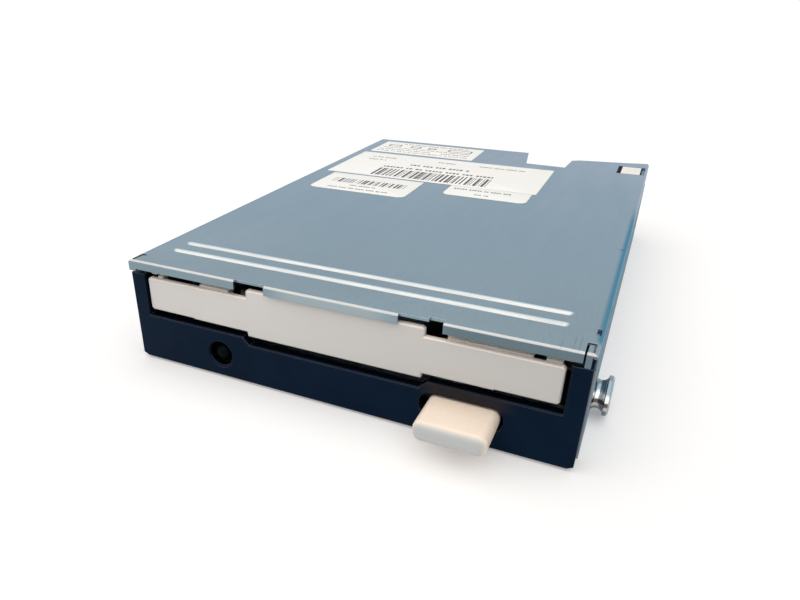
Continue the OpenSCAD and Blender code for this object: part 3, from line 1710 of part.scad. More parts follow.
module head_carriage() {
  placed(black) difference() {
    union() {
      block([-nose_half, carriage_front, carriage_bottom], [nose_half, carriage_body + 1, carriage_top]);
      block([-carriage_half, carriage_body, carriage_bottom],
        [carriage_half, carriage_rear, carriage_top]);
      block([-tower_half, tower_front, carriage_top - 1], [tower_half, carriage_rear - 2.6, tower_top]);
      both_sides()
        block([arm_half + 0.5, arm_hinge_y - 2.4, tower_top - 1],
          [tower_half, arm_hinge_y + 0.4 + arm_pin_r, arm_hinge_z + 2]);
      block([tower_half - 1, follower_y - follower_block, tower_top - 1.5],
        [follower_end, follower_y + follower_block, screw_z + 1.6]);
      block([-flag_end, follower_y - flag_half, flag_z[0]],
        [1 - carriage_half, follower_y + flag_half, flag_z[1]]);
    }
    rod_y(-rod_x_pos, rod_z, carriage_body - 1, carriage_rear + 1, rod_r + 0.05);
    block([rod_x_pos - 2, carriage_body - 1, carriage_bottom - 1],
      [carriage_half + 1, carriage_rear + 1, rod_z + rod_r + 0.06]);
    rod_x(arm_hinge_y, arm_hinge_z, -tower_half - 1, tower_half + 1, arm_pin_r + 0.01);
    rod_x(follower_y, screw_z, tower_half + 2, follower_end + 1, follower_pin_r + 0.01);
    // Window behind the lower head
    block([-window_half, carriage_body + 4, carriage_bottom - 1],
      [window_half, tower_front - 3, carriage_top + 1]);
  }
}

module head_block(half, z0, z1) {
  block([-half[0], head_y - half[1], z0], [half[0], head_y + half[1], z1]);
}

module lower_head() {
  placed(ferrite) {
    head_block(head_half, carriage_top, media_z - 0.15);
    head_block(tip_half, media_z - 0.2, media_z - 0.05);
  }
}

module screw_follower() {
  placed(bright) {
    rod_x(follower_y, screw_z, tower_half + 2.5, follower_end + 0.6, follower_pin_r);
    rod_x(follower_y, screw_z, follower_end + 0.5, screw_x - screw_root - 0.25, follower_r);
  }
}

module arm_pin() {
  placed(bright)
    rod_x(arm_hinge_y, arm_hinge_z, -tower_half, tower_half, arm_pin_r);
}

module arm_tilt() {
  translate([0, arm_hinge_y, arm_hinge_z])
    rotate([-arm_lift, 0, 0])
      translate([0, -arm_hinge_y, -arm_hinge_z])
        children();
}

module upper_arm() {
  placed(black)
    arm_tilt()
      difference() {
        union() {
          block([-arm_half, arm_front, arm_bottom], [arm_half, arm_hinge_y, arm_top]);
          rod_x(arm_hinge_y, arm_hinge_z, -arm_half, arm_half, arm_hub_r);
          block([arm_half - 1, arm_tab_y[0], arm_top - 0.4], [arm_tab_end, arm_tab_y[1], arm_top + 0.5]);
        }
        rod_x(arm_hinge_y, arm_hinge_z, -arm_half - 1, arm_half + 1, arm_pin_r + 0.06);
        block([-window_half, head_y + 8, arm_bottom - 1], [window_half, arm_hinge_y - 6, arm_top + 1]);
      }
}

module upper_head() {
  placed(ferrite)
    arm_tilt() {
      head_block(head_half, media_z + 0.35, arm_bottom);
      head_block(tip_half, media_z + 0.1, media_z + 0.4);
    }
}

chassis_frame();
top_cover();
paper_labels();
front_bezel();
door_flap();
door_spring();
eject_button();
slide_plate();
slide_springs();
disk_holder();
holder_pins();
shutter_lever();
lever_post();
lever_spring();
mounting_studs();
cover_clip();
lamp_lens();
lamp_legs();
lamp_holder();
motor_board();
motor_board_screws();
main_board();
main_board_screws();
control_chips();
board_parts();
interface_header();
interface_pins();
power_header();
power_pins();
flex_sockets();
head_flex();
stepper_flex();
board_link();
switch_bodies();
plunger_protect();
plunger_density();
plunger_disk();
spindle_bearing();
stator_core();
stator_coils();
rotor_cup();
rotor_magnet();
spindle_shaft();
hub_plate();
drive_pin();
guide_rods();
rod_clamps();
rod_screws();
stepper_bracket();
stepper_can();
screw_bearing();
lead_screw();
stepper_rotor();
track_sensor();
head_carriage();
lower_head();
screw_follower();
arm_pin();
upper_arm();
upper_head();
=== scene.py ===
"""Looks of the floppy disk drive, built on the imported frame.

Places are in mm in the drive's own frame: x from its middle, y back from the front lip and z up from the
underside.
"""

import math

import bmesh
import bpy
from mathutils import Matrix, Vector


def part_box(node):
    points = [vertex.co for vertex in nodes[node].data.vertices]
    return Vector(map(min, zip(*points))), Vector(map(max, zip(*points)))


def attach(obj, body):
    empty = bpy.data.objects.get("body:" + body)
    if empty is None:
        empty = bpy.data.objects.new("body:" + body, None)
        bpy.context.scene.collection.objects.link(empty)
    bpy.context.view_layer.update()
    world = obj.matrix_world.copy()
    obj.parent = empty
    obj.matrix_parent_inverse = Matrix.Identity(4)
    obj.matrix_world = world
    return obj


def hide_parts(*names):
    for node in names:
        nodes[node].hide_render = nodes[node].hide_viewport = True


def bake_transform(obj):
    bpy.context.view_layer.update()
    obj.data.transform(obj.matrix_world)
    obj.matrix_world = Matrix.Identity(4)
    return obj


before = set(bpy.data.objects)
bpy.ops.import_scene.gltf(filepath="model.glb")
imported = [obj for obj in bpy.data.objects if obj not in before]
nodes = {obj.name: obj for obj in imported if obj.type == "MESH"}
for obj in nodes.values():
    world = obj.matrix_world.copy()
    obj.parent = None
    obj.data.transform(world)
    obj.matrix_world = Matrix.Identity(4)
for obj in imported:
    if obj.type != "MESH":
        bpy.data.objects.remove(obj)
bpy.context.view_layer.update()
scene = bpy.context.scene

MM = 0.001
ROW_Y = -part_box("top_cover")[0].y / MM  # how far the row frame's origin lies behind the lip


def at(x, y, z):
    """A point of the drive, in the row frame, in metres."""
    return Vector((x, y - ROW_Y, z)) * MM


def node_box(name):
    """Lowest and highest corner of a CAD node, in mm in the drive's own frame."""
    return [Vector(corner) / MM + Vector((0, ROW_Y, 0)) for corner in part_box(name)]


COVER_TOP = node_box("top_cover")[1].z
BOARD_FACE = node_box("main_board")[0].z  # the boards carry their chips on the underside
BEZEL_FRONT = node_box("front_bezel")[0].y
STUD_END = node_box("mounting_studs")[1].x
DOOR_LOW, DOOR_HIGH = node_box("door_flap")
BUTTON_LOW, BUTTON_HIGH = node_box("eject_button")
BUTTON_MIDDLE = (BUTTON_LOW + BUTTON_HIGH) / 2


# Camera, floor and light


def make_camera():
    """The photo's camera, as fitted to corners of the cover, bezel and button."""
    place = (0.05266, -0.17413, 0.07921)
    aim = Vector((-0.3846, 0.7938, -0.4710))
    data = bpy.data.cameras.new("camera")
    data.sensor_width = 36
    data.lens = 29.232
    data.shift_x = 0.0769
    data.shift_y = 0.0463
    data.clip_start = 0.005
    data.clip_end = 60
    obj = bpy.data.objects.new("camera", data)
    obj.location = place
    obj.rotation_euler = aim.to_track_quat("-Z", "Y").to_euler()
    scene.collection.objects.link(obj)
    scene.camera = obj


def seen_directly(tree):
    """1 for camera, glossy and transmission rays."""
    path = tree.nodes.new("ShaderNodeLightPath")
    total = path.outputs["Is Camera Ray"]
    for name in ("Is Glossy Ray", "Is Transmission Ray"):
        add = tree.nodes.new("ShaderNodeMath")
        add.operation = "MAXIMUM"
        tree.links.new(total, add.inputs[0])
        tree.links.new(path.outputs[name], add.inputs[1])
        total = add.outputs[0]
    return total


def floor_white():
    """White paint that glows a little where it is seen, so that it fades into the white world."""
    paint_colour = (0.8, 0.8, 0.8, 1)
    glow_strength = 0.22
    mat = bpy.data.materials.new("floor_white")
    mat.use_nodes = True
    tree = mat.node_tree
    tree.nodes.clear()
    out = tree.nodes.new("ShaderNodeOutputMaterial")
    diffuse = tree.nodes.new("ShaderNodeBsdfDiffuse")
    diffuse.inputs["Color"].default_value = paint_colour
    glow = tree.nodes.new("ShaderNodeEmission")
    add = tree.nodes.new("ShaderNodeAddShader")
    level = tree.nodes.new("ShaderNodeMath")
    level.operation = "MULTIPLY"
    level.inputs[1].default_value = glow_strength
    tree.links.new(seen_directly(tree), level.inputs[0])
    tree.links.new(level.outputs[0], glow.inputs["Strength"])
    tree.links.new(diffuse.outputs[0], add.inputs[0])
    tree.links.new(glow.outputs[0], add.inputs[1])
    tree.links.new(add.outputs[0], out.inputs["Surface"])
    return mat


def make_floor():
    half = 20
    drop = 0.00005
    mesh = bpy.data.meshes.new("floor")
    corners = [(-half, -half, 0), (half, -half, 0), (half, half, 0), (-half, half, 0)]
    mesh.from_pydata(corners, [], [(0, 1, 2, 3)])
    mesh.materials.append(floor_white())
    floor = bpy.data.objects.new("floor", mesh)
    floor.location = (0, 0, -drop)
    scene.collection.objects.link(floor)


def make_world():
    """Pure white where it is seen, and a dimmer light on surfaces."""
    light_level, seen_level = 0.3, 1.0
    world = bpy.data.worlds.new("studio")
    world.use_nodes = True
    scene.world = world
    tree = world.node_tree
    back = tree.nodes["Background"]
    back.inputs["Color"].default_value = (1, 1, 1, 1)
    level = tree.nodes.new("ShaderNodeMapRange")
    level.inputs["To Min"].default_value = light_level
    level.inputs["To Max"].default_value = seen_level
    tree.links.new(seen_directly(tree), level.inputs["Value"])
    tree.links.new(level.outputs[0], back.inputs["Strength"])


def make_lamp(name, toward, strength, spread, colour):
    """A wide, soft light. toward points from the drive to the light, and spread is in degrees."""
    data = bpy.data.lights.new(name, "SUN")
    data.energy = strength
    data.angle = math.radians(spread)
    data.color = colour
    obj = bpy.data.objects.new(name, data)
    obj.rotation_euler = Vector(toward).to_track_quat("Z", "Y").to_euler()
    scene.collection.objects.link(obj)


# Material tools

# How noise is drawn out
EVEN = (1, 1, 1)
ALONG_X = (0.2, 1, 1)
ALONG_Y = (1, 0.2, 1)


def shade(colour, factor):
    return tuple(min(1, c * factor) for c in colour)


class Look:
    """A material, with short ways to add nodes to it.

    x, y and z are in mm in the drive's own frame, mm and row_y in the row frame.
    """

    def __init__(self, name, **values):
        self.mat = bpy.data.materials.new(name)
        self.mat.use_nodes = True
        self.tree = self.mat.node_tree
        self.shader = self.tree.nodes["Principled BSDF"]
        for key, value in values.items():
            self.set(key.replace("_", " "), value)
        place = self.node("ShaderNodeTexCoord").outputs["Object"]
        self.mm = self.node("ShaderNodeVectorMath", place, (1 / MM,) * 3, operation="MULTIPLY").outputs[0]
        self.x, self.row_y, self.z = self.node("ShaderNodeSeparateXYZ", self.mm).outputs
        self.y = self.math("ADD", self.row_y, ROW_Y)

    def feed(self, socket, value):
        if isinstance(value, bpy.types.NodeSocket):
            self.tree.links.new(value, socket)
        elif socket.type == "RGBA" and len(value) == 3:
            socket.default_value = (*value, 1)
        elif value is not None:
            socket.default_value = value

    def set(self, name, value):
        """Sets an input of the shader."""
        self.feed(self.shader.inputs[name], value)

    def node(self, kind, *values, **settings):
        new = self.tree.nodes.new(kind)
        for key, value in settings.items():
            setattr(new, key, value)
        for socket, value in zip(new.inputs, values):
            self.feed(socket, value)
        return new

    def math(self, operation, a, b=0.0):
        return self.node("ShaderNodeMath", a, b, operation=operation).outputs[0]

    def times(self, *values):
        total = values[0]
        for value in values[1:]:
            total = self.math("MULTIPLY", total, value)
        return total

    def span(self, value, start, end, lo=0.0, hi=1.0):
        """lo at start, hi at end, smooth between."""
        ramp = self.node("ShaderNodeMapRange", value, start, end, lo, hi, interpolation_type="SMOOTHSTEP")
        return ramp.outputs[0]

    def near(self, value, centre, half, fade):
        """1 within half of the centre, falling to 0 over the width of the fade."""
        off = self.math("ABSOLUTE", self.math("SUBTRACT", value, centre))
        return self.span(off, half + fade, half)

    def stripes(self, value, pitch, width, fade=0.06):
        """1 on one stripe per pitch. fade is the blur of its edges as a share of the pitch."""
        part = self.math("FRACT", self.math("DIVIDE", value, pitch))
        return self.near(part, 0.5, width / pitch / 2, fade)

    def noise(self, size, stretch=EVEN, detail=4):
        """Noise with features of about that size in mm."""
        where = self.node("ShaderNodeVectorMath", self.mm, stretch, operation="MULTIPLY").outputs[0]
        texture = self.node("ShaderNodeTexNoise", where)
        texture.inputs["Scale"].default_value = 1 / size
        texture.inputs["Detail"].default_value = detail
        texture.inputs["Roughness"].default_value = 0.55
        return texture.outputs[0]

    def mix(self, amount, a, b):
        blend = self.node("ShaderNodeMix", data_type="RGBA")
        # The node also has sockets for numbers and vectors, so those for colours are picked by number
        factor, first, second = blend.inputs[0], blend.inputs[6], blend.inputs[7]
        self.feed(factor, amount)
        self.feed(first, a)
        self.feed(second, b)
        return blend.outputs[2]

    def soften(self, radius):
        """Rounds edges in the shading. Sets round, the rounded normal, and edge, which is 1 at an edge."""
        flat, turned = 0.995, 0.8  # cosines of the turn where an edge begins and where it is full
        self.round = self.node("ShaderNodeBevel", radius * MM, samples=4).outputs[0]
        normal = self.node("ShaderNodeNewGeometry").outputs["Normal"]
        turn = self.node("ShaderNodeVectorMath", self.round, normal, operation="DOT_PRODUCT")
        self.edge = self.span(turn.outputs["Value"], flat, turned)

    def upward(self, normal, full):
        """1 where the normal's upward part is full or more."""
        start = 0.15
        return self.span(self.node("ShaderNodeSeparateXYZ", normal).outputs[2], start, full)

    def bump(self, height, depth, normal):
        bump = self.node("ShaderNodeBump")
        bump.inputs["Strength"].default_value = 1
        bump.inputs["Distance"].default_value = depth * MM
        self.feed(bump.inputs["Height"], height)
        if normal is not None:
            self.feed(bump.inputs["Normal"], normal)
        return bump.outputs[0]


def finish(
    name, colour, *, rough, vary, patch, grain, depth,
    stretch=EVEN, soft=0, edge_wear_and_sheen=None, worn=0.4, paint=None, **values,
):
    """A surface with slow changes of tone, a fine grain, uneven gloss, and edges made paler by wear and by a
    painted highlight.

    vary is how far the tone changes, and patch over how many mm. grain and depth are the width and height
    of the grain in mm. soft is the radius of edges in mm, edge_wear_and_sheen their colour, which is partly
    wear and partly a painted highlight, and worn how much of it shows.
    paint adds the marks of one piece, and other values go to the shader.
    """
    tone_limits = (0.3, 0.7)
    grain_limits, grain_share, grain_shade = (0.35, 0.7), 0.35, 0.86
    gloss_limits, gloss_low, gloss_high = (0.25, 0.75), 0.82, 1.2
    rub_size, rub_limits, rub_least = 1.6, (0.35, 0.6), 0.35

    look = Look(name, **values)
    pale = shade(colour, 1 + vary)
    tone = look.mix(look.span(look.noise(patch), *tone_limits), shade(colour, 1 - vary), pale)
    fine = look.noise(grain, stretch)
    tone = look.mix(look.span(fine, *grain_limits, 0, grain_share), tone, shade(colour, grain_shade))
    gloss_patch = patch / 3
    glossy, dull = rough * gloss_low, min(1, rough * gloss_high)
    roughness = look.span(look.noise(gloss_patch, stretch), *gloss_limits, glossy, dull)
    normal = None
    if soft:
        look.soften(soft)
        normal = look.round
        # Paler edges: partly wear, partly a painted highlight
        rub = look.span(look.noise(rub_size), *rub_limits, worn * rub_least, worn)
        tone = look.mix(look.times(look.edge, rub), tone, edge_wear_and_sheen or pale)
    height = fine
    if paint:
        tone, roughness, height = paint(look, tone, roughness, height)
    look.set("Base Color", tone)
    look.set("Roughness", roughness)
    look.set("Normal", look.bump(height, depth, normal))
    return look.mat


# Marks of single pieces. Those named marks take and return a look's colour, roughness and height.


def bead_lines(look):
    """1 on the two beads stamped into the cover, where a highlight is painted."""
    rows = (9.7, 14.8)
    middle = -0.35
    across = [look.near(look.y, row, half=0.3, fade=0.5) for row in rows]
    return look.times(look.math("MAXIMUM", *across), look.near(look.x, middle, half=43.9, fade=1.3))


def front_bend(look):
    """1 on the bend at the top of the cover's lip, where a highlight is painted."""
    lip_depth = look.span(look.y, 0.52, 0.42)
    lip_height = look.span(look.z, COVER_TOP - 0.42, COVER_TOP - 0.3)
    return look.times(lip_depth, lip_height)


def side_strips(look):
    """1 on the turned-down sides of the cover, from behind the corner slots to the middle."""
    side = 51.2
    strip = look.near(look.math("ABSOLUTE", look.x), side, half=0.9, fade=1.0)
    behind_slots = look.span(look.y, 4, 6)
    before_middle = look.span(look.y, 95, 75)
    return look.times(strip, behind_slots, before_middle)


def lip_face(look, tone):
    """The front of the lip is paler in the middle and darker on the right."""
    pale, dark = (0.32, 0.39, 0.42), (0.13, 0.18, 0.21)
    face = look.span(look.y, 0.3, 0.1)
    tone = look.mix(look.times(face, look.near(look.x, 0, half=8, fade=8)), tone, pale)
    return look.mix(look.times(face, look.span(look.x, 18, 26)), tone, dark)


def cover_scratches(look, tone):
    """Dark scuffs by the right front corner, and hairlines along the cover."""
    scuff, scuff_share = (0.11, 0.1, 0.1), 0.35
    hairline, hairline_share = (0.75, 0.78, 0.8), 0.03
    corner = look.times(look.near(look.x, 46.5, half=1, fade=3.5), look.near(look.y, 4, half=2.5, fade=3))
    line = look.span(look.noise(0.5, (1, 0.04, 1), detail=2), 0.6, 0.68)
    tone = look.mix(look.times(corner, line, scuff_share), tone, scuff)
    hair = look.span(look.noise(0.35, (1, 0.012, 1), detail=2), 0.66, 0.72, 0, hairline_share)
    return look.mix(hair, tone, hairline)


def cover_marks(look, tone, roughness, height):
    """Sides bluer as a painted reflection, painted highlights on the beads and front bend, and scratches."""
    middle, middle_range = (0.2, 0.287, 0.348), (5, 55)
    rear, rear_range = (0.206, 0.286, 0.358), (60, 130)
    painted_side_reflection, sheen, side_sheen = (0.15, 0.235, 0.305), (0.85, 0.89, 0.94), (0.3, 0.62, 0.8)
    bead_shine, bend_shine, highlight_roughness = (0.87, 0.86, 0.83), (0.66, 0.65, 0.63), (0.62, 0.62, 0.62)

    tone = look.mix(look.span(look.y, *middle_range), tone, middle)
    tone = look.mix(look.span(look.y, *rear_range), tone, rear)
    # Painted reflection: the sides are bluer, in colour and in the tint of their reflections, as if blue
    # surroundings showed in them
    side = side_strips(look)
    tone = look.mix(side, tone, painted_side_reflection)
    look.set("Specular Tint", look.mix(side, sheen, side_sheen))

    # Painted highlights: cream on the beads and the front bend, uneven along them, with the metal made dull
    # and non-metallic there
    painted_light = look.span(look.noise(2.2, (0.15, 1, 1)), 0.3, 0.65, lo=0.7)
    bead = bead_lines(look)
    tone = look.mix(look.times(bead, painted_light), tone, bead_shine)
    tone = lip_face(look, tone)
    bend = look.times(front_bend(look), painted_light)
    tone = look.mix(bend, tone, bend_shine)
    painted_highlight = look.math("MAXIMUM", bead, bend)
    look.set("Metallic", look.math("SUBTRACT", 1.0, painted_highlight))
    return cover_scratches(look, tone), look.mix(painted_highlight, roughness, highlight_roughness), height


def bezel_marks(look, tone, roughness, height):
    """Painted shade inside the openings, painted highlights on the upper edges, and painted light from the
    button on the bezel above it.
    """
    black, pale, painted_light = (0.0008, 0.0014, 0.0026), (0.13, 0.125, 0.14), (0.022, 0.019, 0.021)
    # Painted shade: near black behind the bezel's face, inside the openings
    behind_face = look.span(look.y, BEZEL_FRONT + 0.5, BEZEL_FRONT + 0.8)
    tone = look.mix(look.times(behind_face, look.near(look.x, 0, half=47, fade=0.4)), tone, black)
    # Painted highlight on edges that face up
    tone = look.mix(look.times(look.upward(look.round, full=0.5), look.edge), tone, pale)
    # Painted light: a warmer patch above the button, where light from the button falls on the bezel
    over_button = look.span(look.z, BUTTON_HIGH.z - 0.5, BUTTON_HIGH.z + 0.7)
    above = look.times(look.near(look.x, BUTTON_MIDDLE.x, half=5, fade=6), over_button)
    front = look.span(look.y, BEZEL_FRONT + 0.6, BEZEL_FRONT + 0.3)
    return look.mix(look.times(above, front), tone, painted_light), roughness, height


def door_marks(look, tone, roughness, height):
    """Greyer towards the right, and a painted highlight where it faces up."""
    grey, painted_top_light = (0.565, 0.555, 0.54), (0.98, 0.86, 0.77)
    left, right = -46, 46
    tone = look.mix(look.span(look.x, left, right), tone, grey)
    # Painted light: cream on faces that point up, where light from above falls
    facing = look.node("ShaderNodeNewGeometry").outputs["Normal"]
    return look.mix(look.upward(facing, full=0.6), tone, painted_top_light), roughness, height


def button_marks(look, tone, roughness, height):
    """Painted shade: greyer on the face that looks forward."""
    grey = (0.52, 0.53, 0.53)
    # Painted shade on the button's front
    painted_front_shade = look.span(look.y, BUTTON_LOW.y + 1.1, BUTTON_LOW.y + 0.05)
    return look.mix(painted_front_shade, tone, grey), roughness, height


def stud_marks(look, tone, roughness, height):
    """Painted reflections: light and dark streaks on polished steel."""
    axis_z = 5
    # Height above the axis, half width, fade and colour
    painted_reflections = (
        (1.1, 0.4, 0.6, (0.95, 0.93, 0.9)),
        (0.05, 0.3, 0.4, (0.14, 0.12, 0.12)),
        (-0.9, 0.15, 0.45, (0.62, 0.58, 0.52)),
        (-2.9, 0.9, 0.8, (0.1, 0.17, 0.21)),
        (3.3, 0.8, 0.6, (0.17, 0.24, 0.28)),
    )
    up = look.math("SUBTRACT", look.z, axis_z)
    before_end = look.span(look.math("ABSOLUTE", look.x), STUD_END - 0.2, STUD_END - 0.4)
    for centre, half, fade, reflection in painted_reflections:
        tone = look.mix(look.times(look.near(up, centre, half, fade), before_end), tone, reflection)
    return tone, roughness, height


def board_cell(look, size, seed):
    """One random value for each square of that size."""
    column, row = (look.math("FLOOR", look.math("DIVIDE", v, size)) for v in (look.x, look.row_y))
    where = look.node("ShaderNodeCombineXYZ", column, row, seed).outputs[0]
    return look.node("ShaderNodeTexWhiteNoise", where).outputs["Value"]


def board_traces(look):
    """1 on runs of traces, which change direction from square to square and leave some squares bare."""
    pitch, width, traces = 1.27, 0.45, 6
    pick = board_cell(look, traces * pitch, seed=3.0)
    along_x = look.math("GREATER_THAN", pick, 0.5)
    trace = look.mix(along_x, look.stripes(look.x, pitch, width), look.stripes(look.row_y, pitch, width))
    return look.times(trace, look.span(pick, 0.08, 0.1), look.span(pick, 0.95, 0.93))


def board_marks(look, tone, roughness, height):
    """Traces and plated holes in green solder resist, painted black as shade by the lamp."""
    pitch, share_bare = 2.54, 0.86
    trace_green, trace_share, trace_height = (0.05, 0.26, 0.12), 0.75, 2.0
    plated, hole_black, painted_lamp_shade = (0.62, 0.58, 0.5), (0.01, 0.01, 0.01), (0.004, 0.012, 0.008)
    trace = board_traces(look)
    tone = look.mix(look.times(trace, trace_share), tone, trace_green)
    parts = [look.math("FRACT", look.math("DIVIDE", place, pitch)) for place in (look.x, look.row_y)]
    u, v = (look.math("SUBTRACT", part, 0.5) for part in parts)
    off = look.math("SQRT", look.math("ADD", look.times(u, u), look.times(v, v)))
    chosen = look.math("GREATER_THAN", board_cell(look, pitch, seed=8.0), share_bare)
    tone = look.mix(look.times(look.span(off, 0.2, 0.17), chosen), tone, plated)
    tone = look.mix(look.times(look.span(off, 0.09, 0.07), chosen), tone, hole_black)
    # Painted shade: black where the board shows through the lamp's hole
    tone = look.mix(look.span(look.y, 11, 9), tone, painted_lamp_shade)
    return tone, roughness, look.math("ADD", height, look.times(trace, trace_height))


def film_marks(look, tone, roughness, height):
    """Copper tracks inside an amber film."""
    copper, share = (0.62, 0.26, 0.07), 0.7
    track = look.stripes(look.x, pitch=0.8, width=0.384)
    return look.mix(look.times(track, share), tone, copper), roughness, height


def layer_marks(look, tone, roughness, height):
    """Edges of stacked sheets."""
    dark, share = (0.05, 0.05, 0.05), 0.7
    gap = look.stripes(look.z, pitch=0.35, width=0.042, fade=0.1)
    return look.mix(look.times(gap, share), tone, dark), roughness, look.math("SUBTRACT", height, gap)


def wire_marks(look, tone, roughness, height):
    """Turns of enamelled wire, slightly slanted."""
    dark, slant, gap_depth = (0.18, 0.06, 0.02), 0.03, 3.0
    level = look.math("ADD", look.z, look.times(look.x, slant))
    gap = look.stripes(level, pitch=0.28, width=0.028, fade=0.25)
    return look.mix(gap, tone, dark), roughness, look.math("SUBTRACT", height, look.times(gap, gap_depth))


def paper_marks(look, tone, roughness, height):
    """Faint yellowing in wide patches."""
    yellowed, share = (0.95, 0.93, 0.87), 0.25
    age = look.span(look.noise(40, detail=3), 0.35, 0.75, 0, share)
    return look.mix(age, tone, yellowed), roughness, height


# Materials, named after the record's slots, and four more for what only the scene has

METAL = {"Metallic": 1.0}


def zinc_sheet():
    return finish(
        "zinc_sheet", (0.222, 0.302, 0.348), rough=0.34, vary=0.05, patch=30, grain=0.5, depth=0.0012,
        stretch=ALONG_Y, soft=0.12, edge_wear_and_sheen=(0.6, 0.64, 0.66), worn=0.5, paint=cover_marks, **METAL,
    )


def cast_alloy():
    # The blue specular tint is a painted reflection of blue surroundings
    return finish(
        "cast_alloy", (0.27, 0.31, 0.35), rough=0.5, vary=0.08, patch=9, grain=0.45, depth=0.012,
        soft=0.25, edge_wear_and_sheen=(0.5, 0.53, 0.56), worn=0.6, Specular_Tint=(0.28, 0.48, 0.6), **METAL,
    )


def plated_sheet():
    return finish(
        "plated_sheet", (0.4, 0.41, 0.42), rough=0.36, vary=0.07, patch=12, grain=0.3, depth=0.0015,
        stretch=(1, 0.12, 1), soft=0.1, edge_wear_and_sheen=(0.55, 0.56, 0.56), worn=0.5, **METAL,
    )


def bright_steel():
    return finish(
        "bright_steel", (0.7, 0.7, 0.69), rough=0.17, vary=0.06, patch=6, grain=0.2, depth=0.0008,
        stretch=ALONG_X, soft=0.08, edge_wear_and_sheen=(0.85, 0.84, 0.82), **METAL,
    )


def stud_steel():
    return finish(
        "stud_steel", (0.4, 0.44, 0.47), rough=0.2, vary=0.06, patch=6, grain=0.2, depth=0.0008,
        stretch=ALONG_X, soft=0.08, edge_wear_and_sheen=(0.6, 0.62, 0.64), paint=stud_marks, **METAL,
    )


def spring_steel():
    return finish(
        "spring_steel", (0.48, 0.48, 0.47), rough=0.28, vary=0.1, patch=2, grain=0.15, depth=0.001, **METAL
    )


def core_steel():
    return finish(
        "core_steel", (0.3, 0.31, 0.33), rough=0.4, vary=0.12, patch=5, grain=0.25, depth=0.01,
        soft=0.06, paint=layer_marks, **METAL,
    )


def copper_wire():
    return finish(
        "copper_wire", (0.68, 0.29, 0.1), rough=0.28, vary=0.1, patch=3, grain=0.2, depth=0.02,
        soft=0.3, paint=wire_marks, **METAL,
    )


def bearing_bronze():
    return finish(
        "bearing_bronze", (0.56, 0.4, 0.2), rough=0.34, vary=0.08, patch=3, grain=0.15, depth=0.002,
        soft=0.08, **METAL,
    )


def gold_pins():
    return finish(
        "gold_pins", (0.8, 0.6, 0.24), rough=0.24, vary=0.08, patch=2, grain=0.15, depth=0.001,
        soft=0.06, **METAL,
    )


def tin():
    return finish(
        "tin", (0.66, 0.66, 0.64), rough=0.26, vary=0.08, patch=1.5, grain=0.15, depth=0.004, **METAL
    )


def magnet():
    return finish(
        "magnet", (0.05, 0.048, 0.046), rough=0.48, vary=0.15, patch=3, grain=0.2, depth=0.006,
        soft=0.1, Metallic=0.35,
    )


def head_ferrite():
    return finish(
        "head_ferrite", (0.045, 0.045, 0.05), rough=0.16, vary=0.1, patch=2, grain=0.1, depth=0.001,
        soft=0.05, Metallic=0.2,
    )


def dark_plastic():
    # The blue specular tint is a painted reflection of blue surroundings
    return finish(
        "dark_plastic", (0.0025, 0.009, 0.024), rough=0.46, vary=0.18, patch=14, grain=0.22, depth=0.006,
        soft=0.3, edge_wear_and_sheen=(0.05, 0.044, 0.042), worn=0.9, paint=bezel_marks,
        Specular_IOR_Level=0.06, Specular_Tint=(0.4, 0.7, 1.0),
    )


def black_plastic():
    return finish(
        "black_plastic", (0.014, 0.014, 0.016), rough=0.48, vary=0.2, patch=8, grain=0.2, depth=0.006,
        soft=0.15, edge_wear_and_sheen=(0.06, 0.06, 0.06), Specular_IOR_Level=0.35,
    )


def chip_plastic():
    return finish(
        "chip_plastic", (0.017, 0.017, 0.019), rough=0.58, vary=0.2, patch=4, grain=0.14, depth=0.01,
        soft=0.1, edge_wear_and_sheen=(0.05, 0.05, 0.055), Specular_IOR_Level=0.35,
    )


def door_plastic():
    return finish(
        "door_plastic", (0.7, 0.675, 0.65), rough=0.44, vary=0.025, patch=25, grain=0.25, depth=0.004,
        soft=0.25, edge_wear_and_sheen=(0.9, 0.85, 0.78), worn=0.35, paint=door_marks, Specular_IOR_Level=0.35,
    )


def button_plastic():
    return finish(
        "button_plastic", (0.97, 0.82, 0.68), rough=0.4, vary=0.02, patch=6, grain=0.25, depth=0.004,
        paint=button_marks, Specular_IOR_Level=0.35,
    )


def white_plastic():
    return finish(
        "white_plastic", (0.8, 0.79, 0.74), rough=0.46, vary=0.04, patch=6, grain=0.2, depth=0.004,
        soft=0.15, Specular_IOR_Level=0.4,
    )


def lamp_plastic():
    # Near black with almost no reflection: the lens's own dark green, darkened further as painted shade in
    # its recess
    return finish(
        "lamp_plastic", (0.0006, 0.0032, 0.003), rough=0.4, vary=0.15, patch=2, grain=0.2, depth=0.002,
        Specular_IOR_Level=0.03,
    )


def label_paper():
    return finish(
        "label_paper", (0.9, 0.9, 0.885), rough=0.78, vary=0.01, patch=12, grain=0.18, depth=0.004,
        paint=paper_marks, Specular_IOR_Level=0.25,
    )


def label_ink():
    return finish(
        "label_ink", (0.06, 0.062, 0.07), rough=0.6, vary=0.4, patch=1.5, grain=0.2, depth=0.002,
        Specular_IOR_Level=0.3,
    )


def circuit_board():
    return finish(
        "circuit_board", (0.012, 0.12, 0.055), rough=0.36, vary=0.12, patch=20, grain=0.25, depth=0.004,
        soft=0.08, paint=board_marks,
    )


def board_print():
    return finish("board_print", (0.72, 0.74, 0.7), rough=0.6, vary=0.06, patch=3, grain=0.2, depth=0.003)


def part_ceramic():
    return finish(
        "part_ceramic", (0.42, 0.3, 0.18), rough=0.42, vary=0.14, patch=2.4, grain=0.15, depth=0.004,
        soft=0.08,
    )


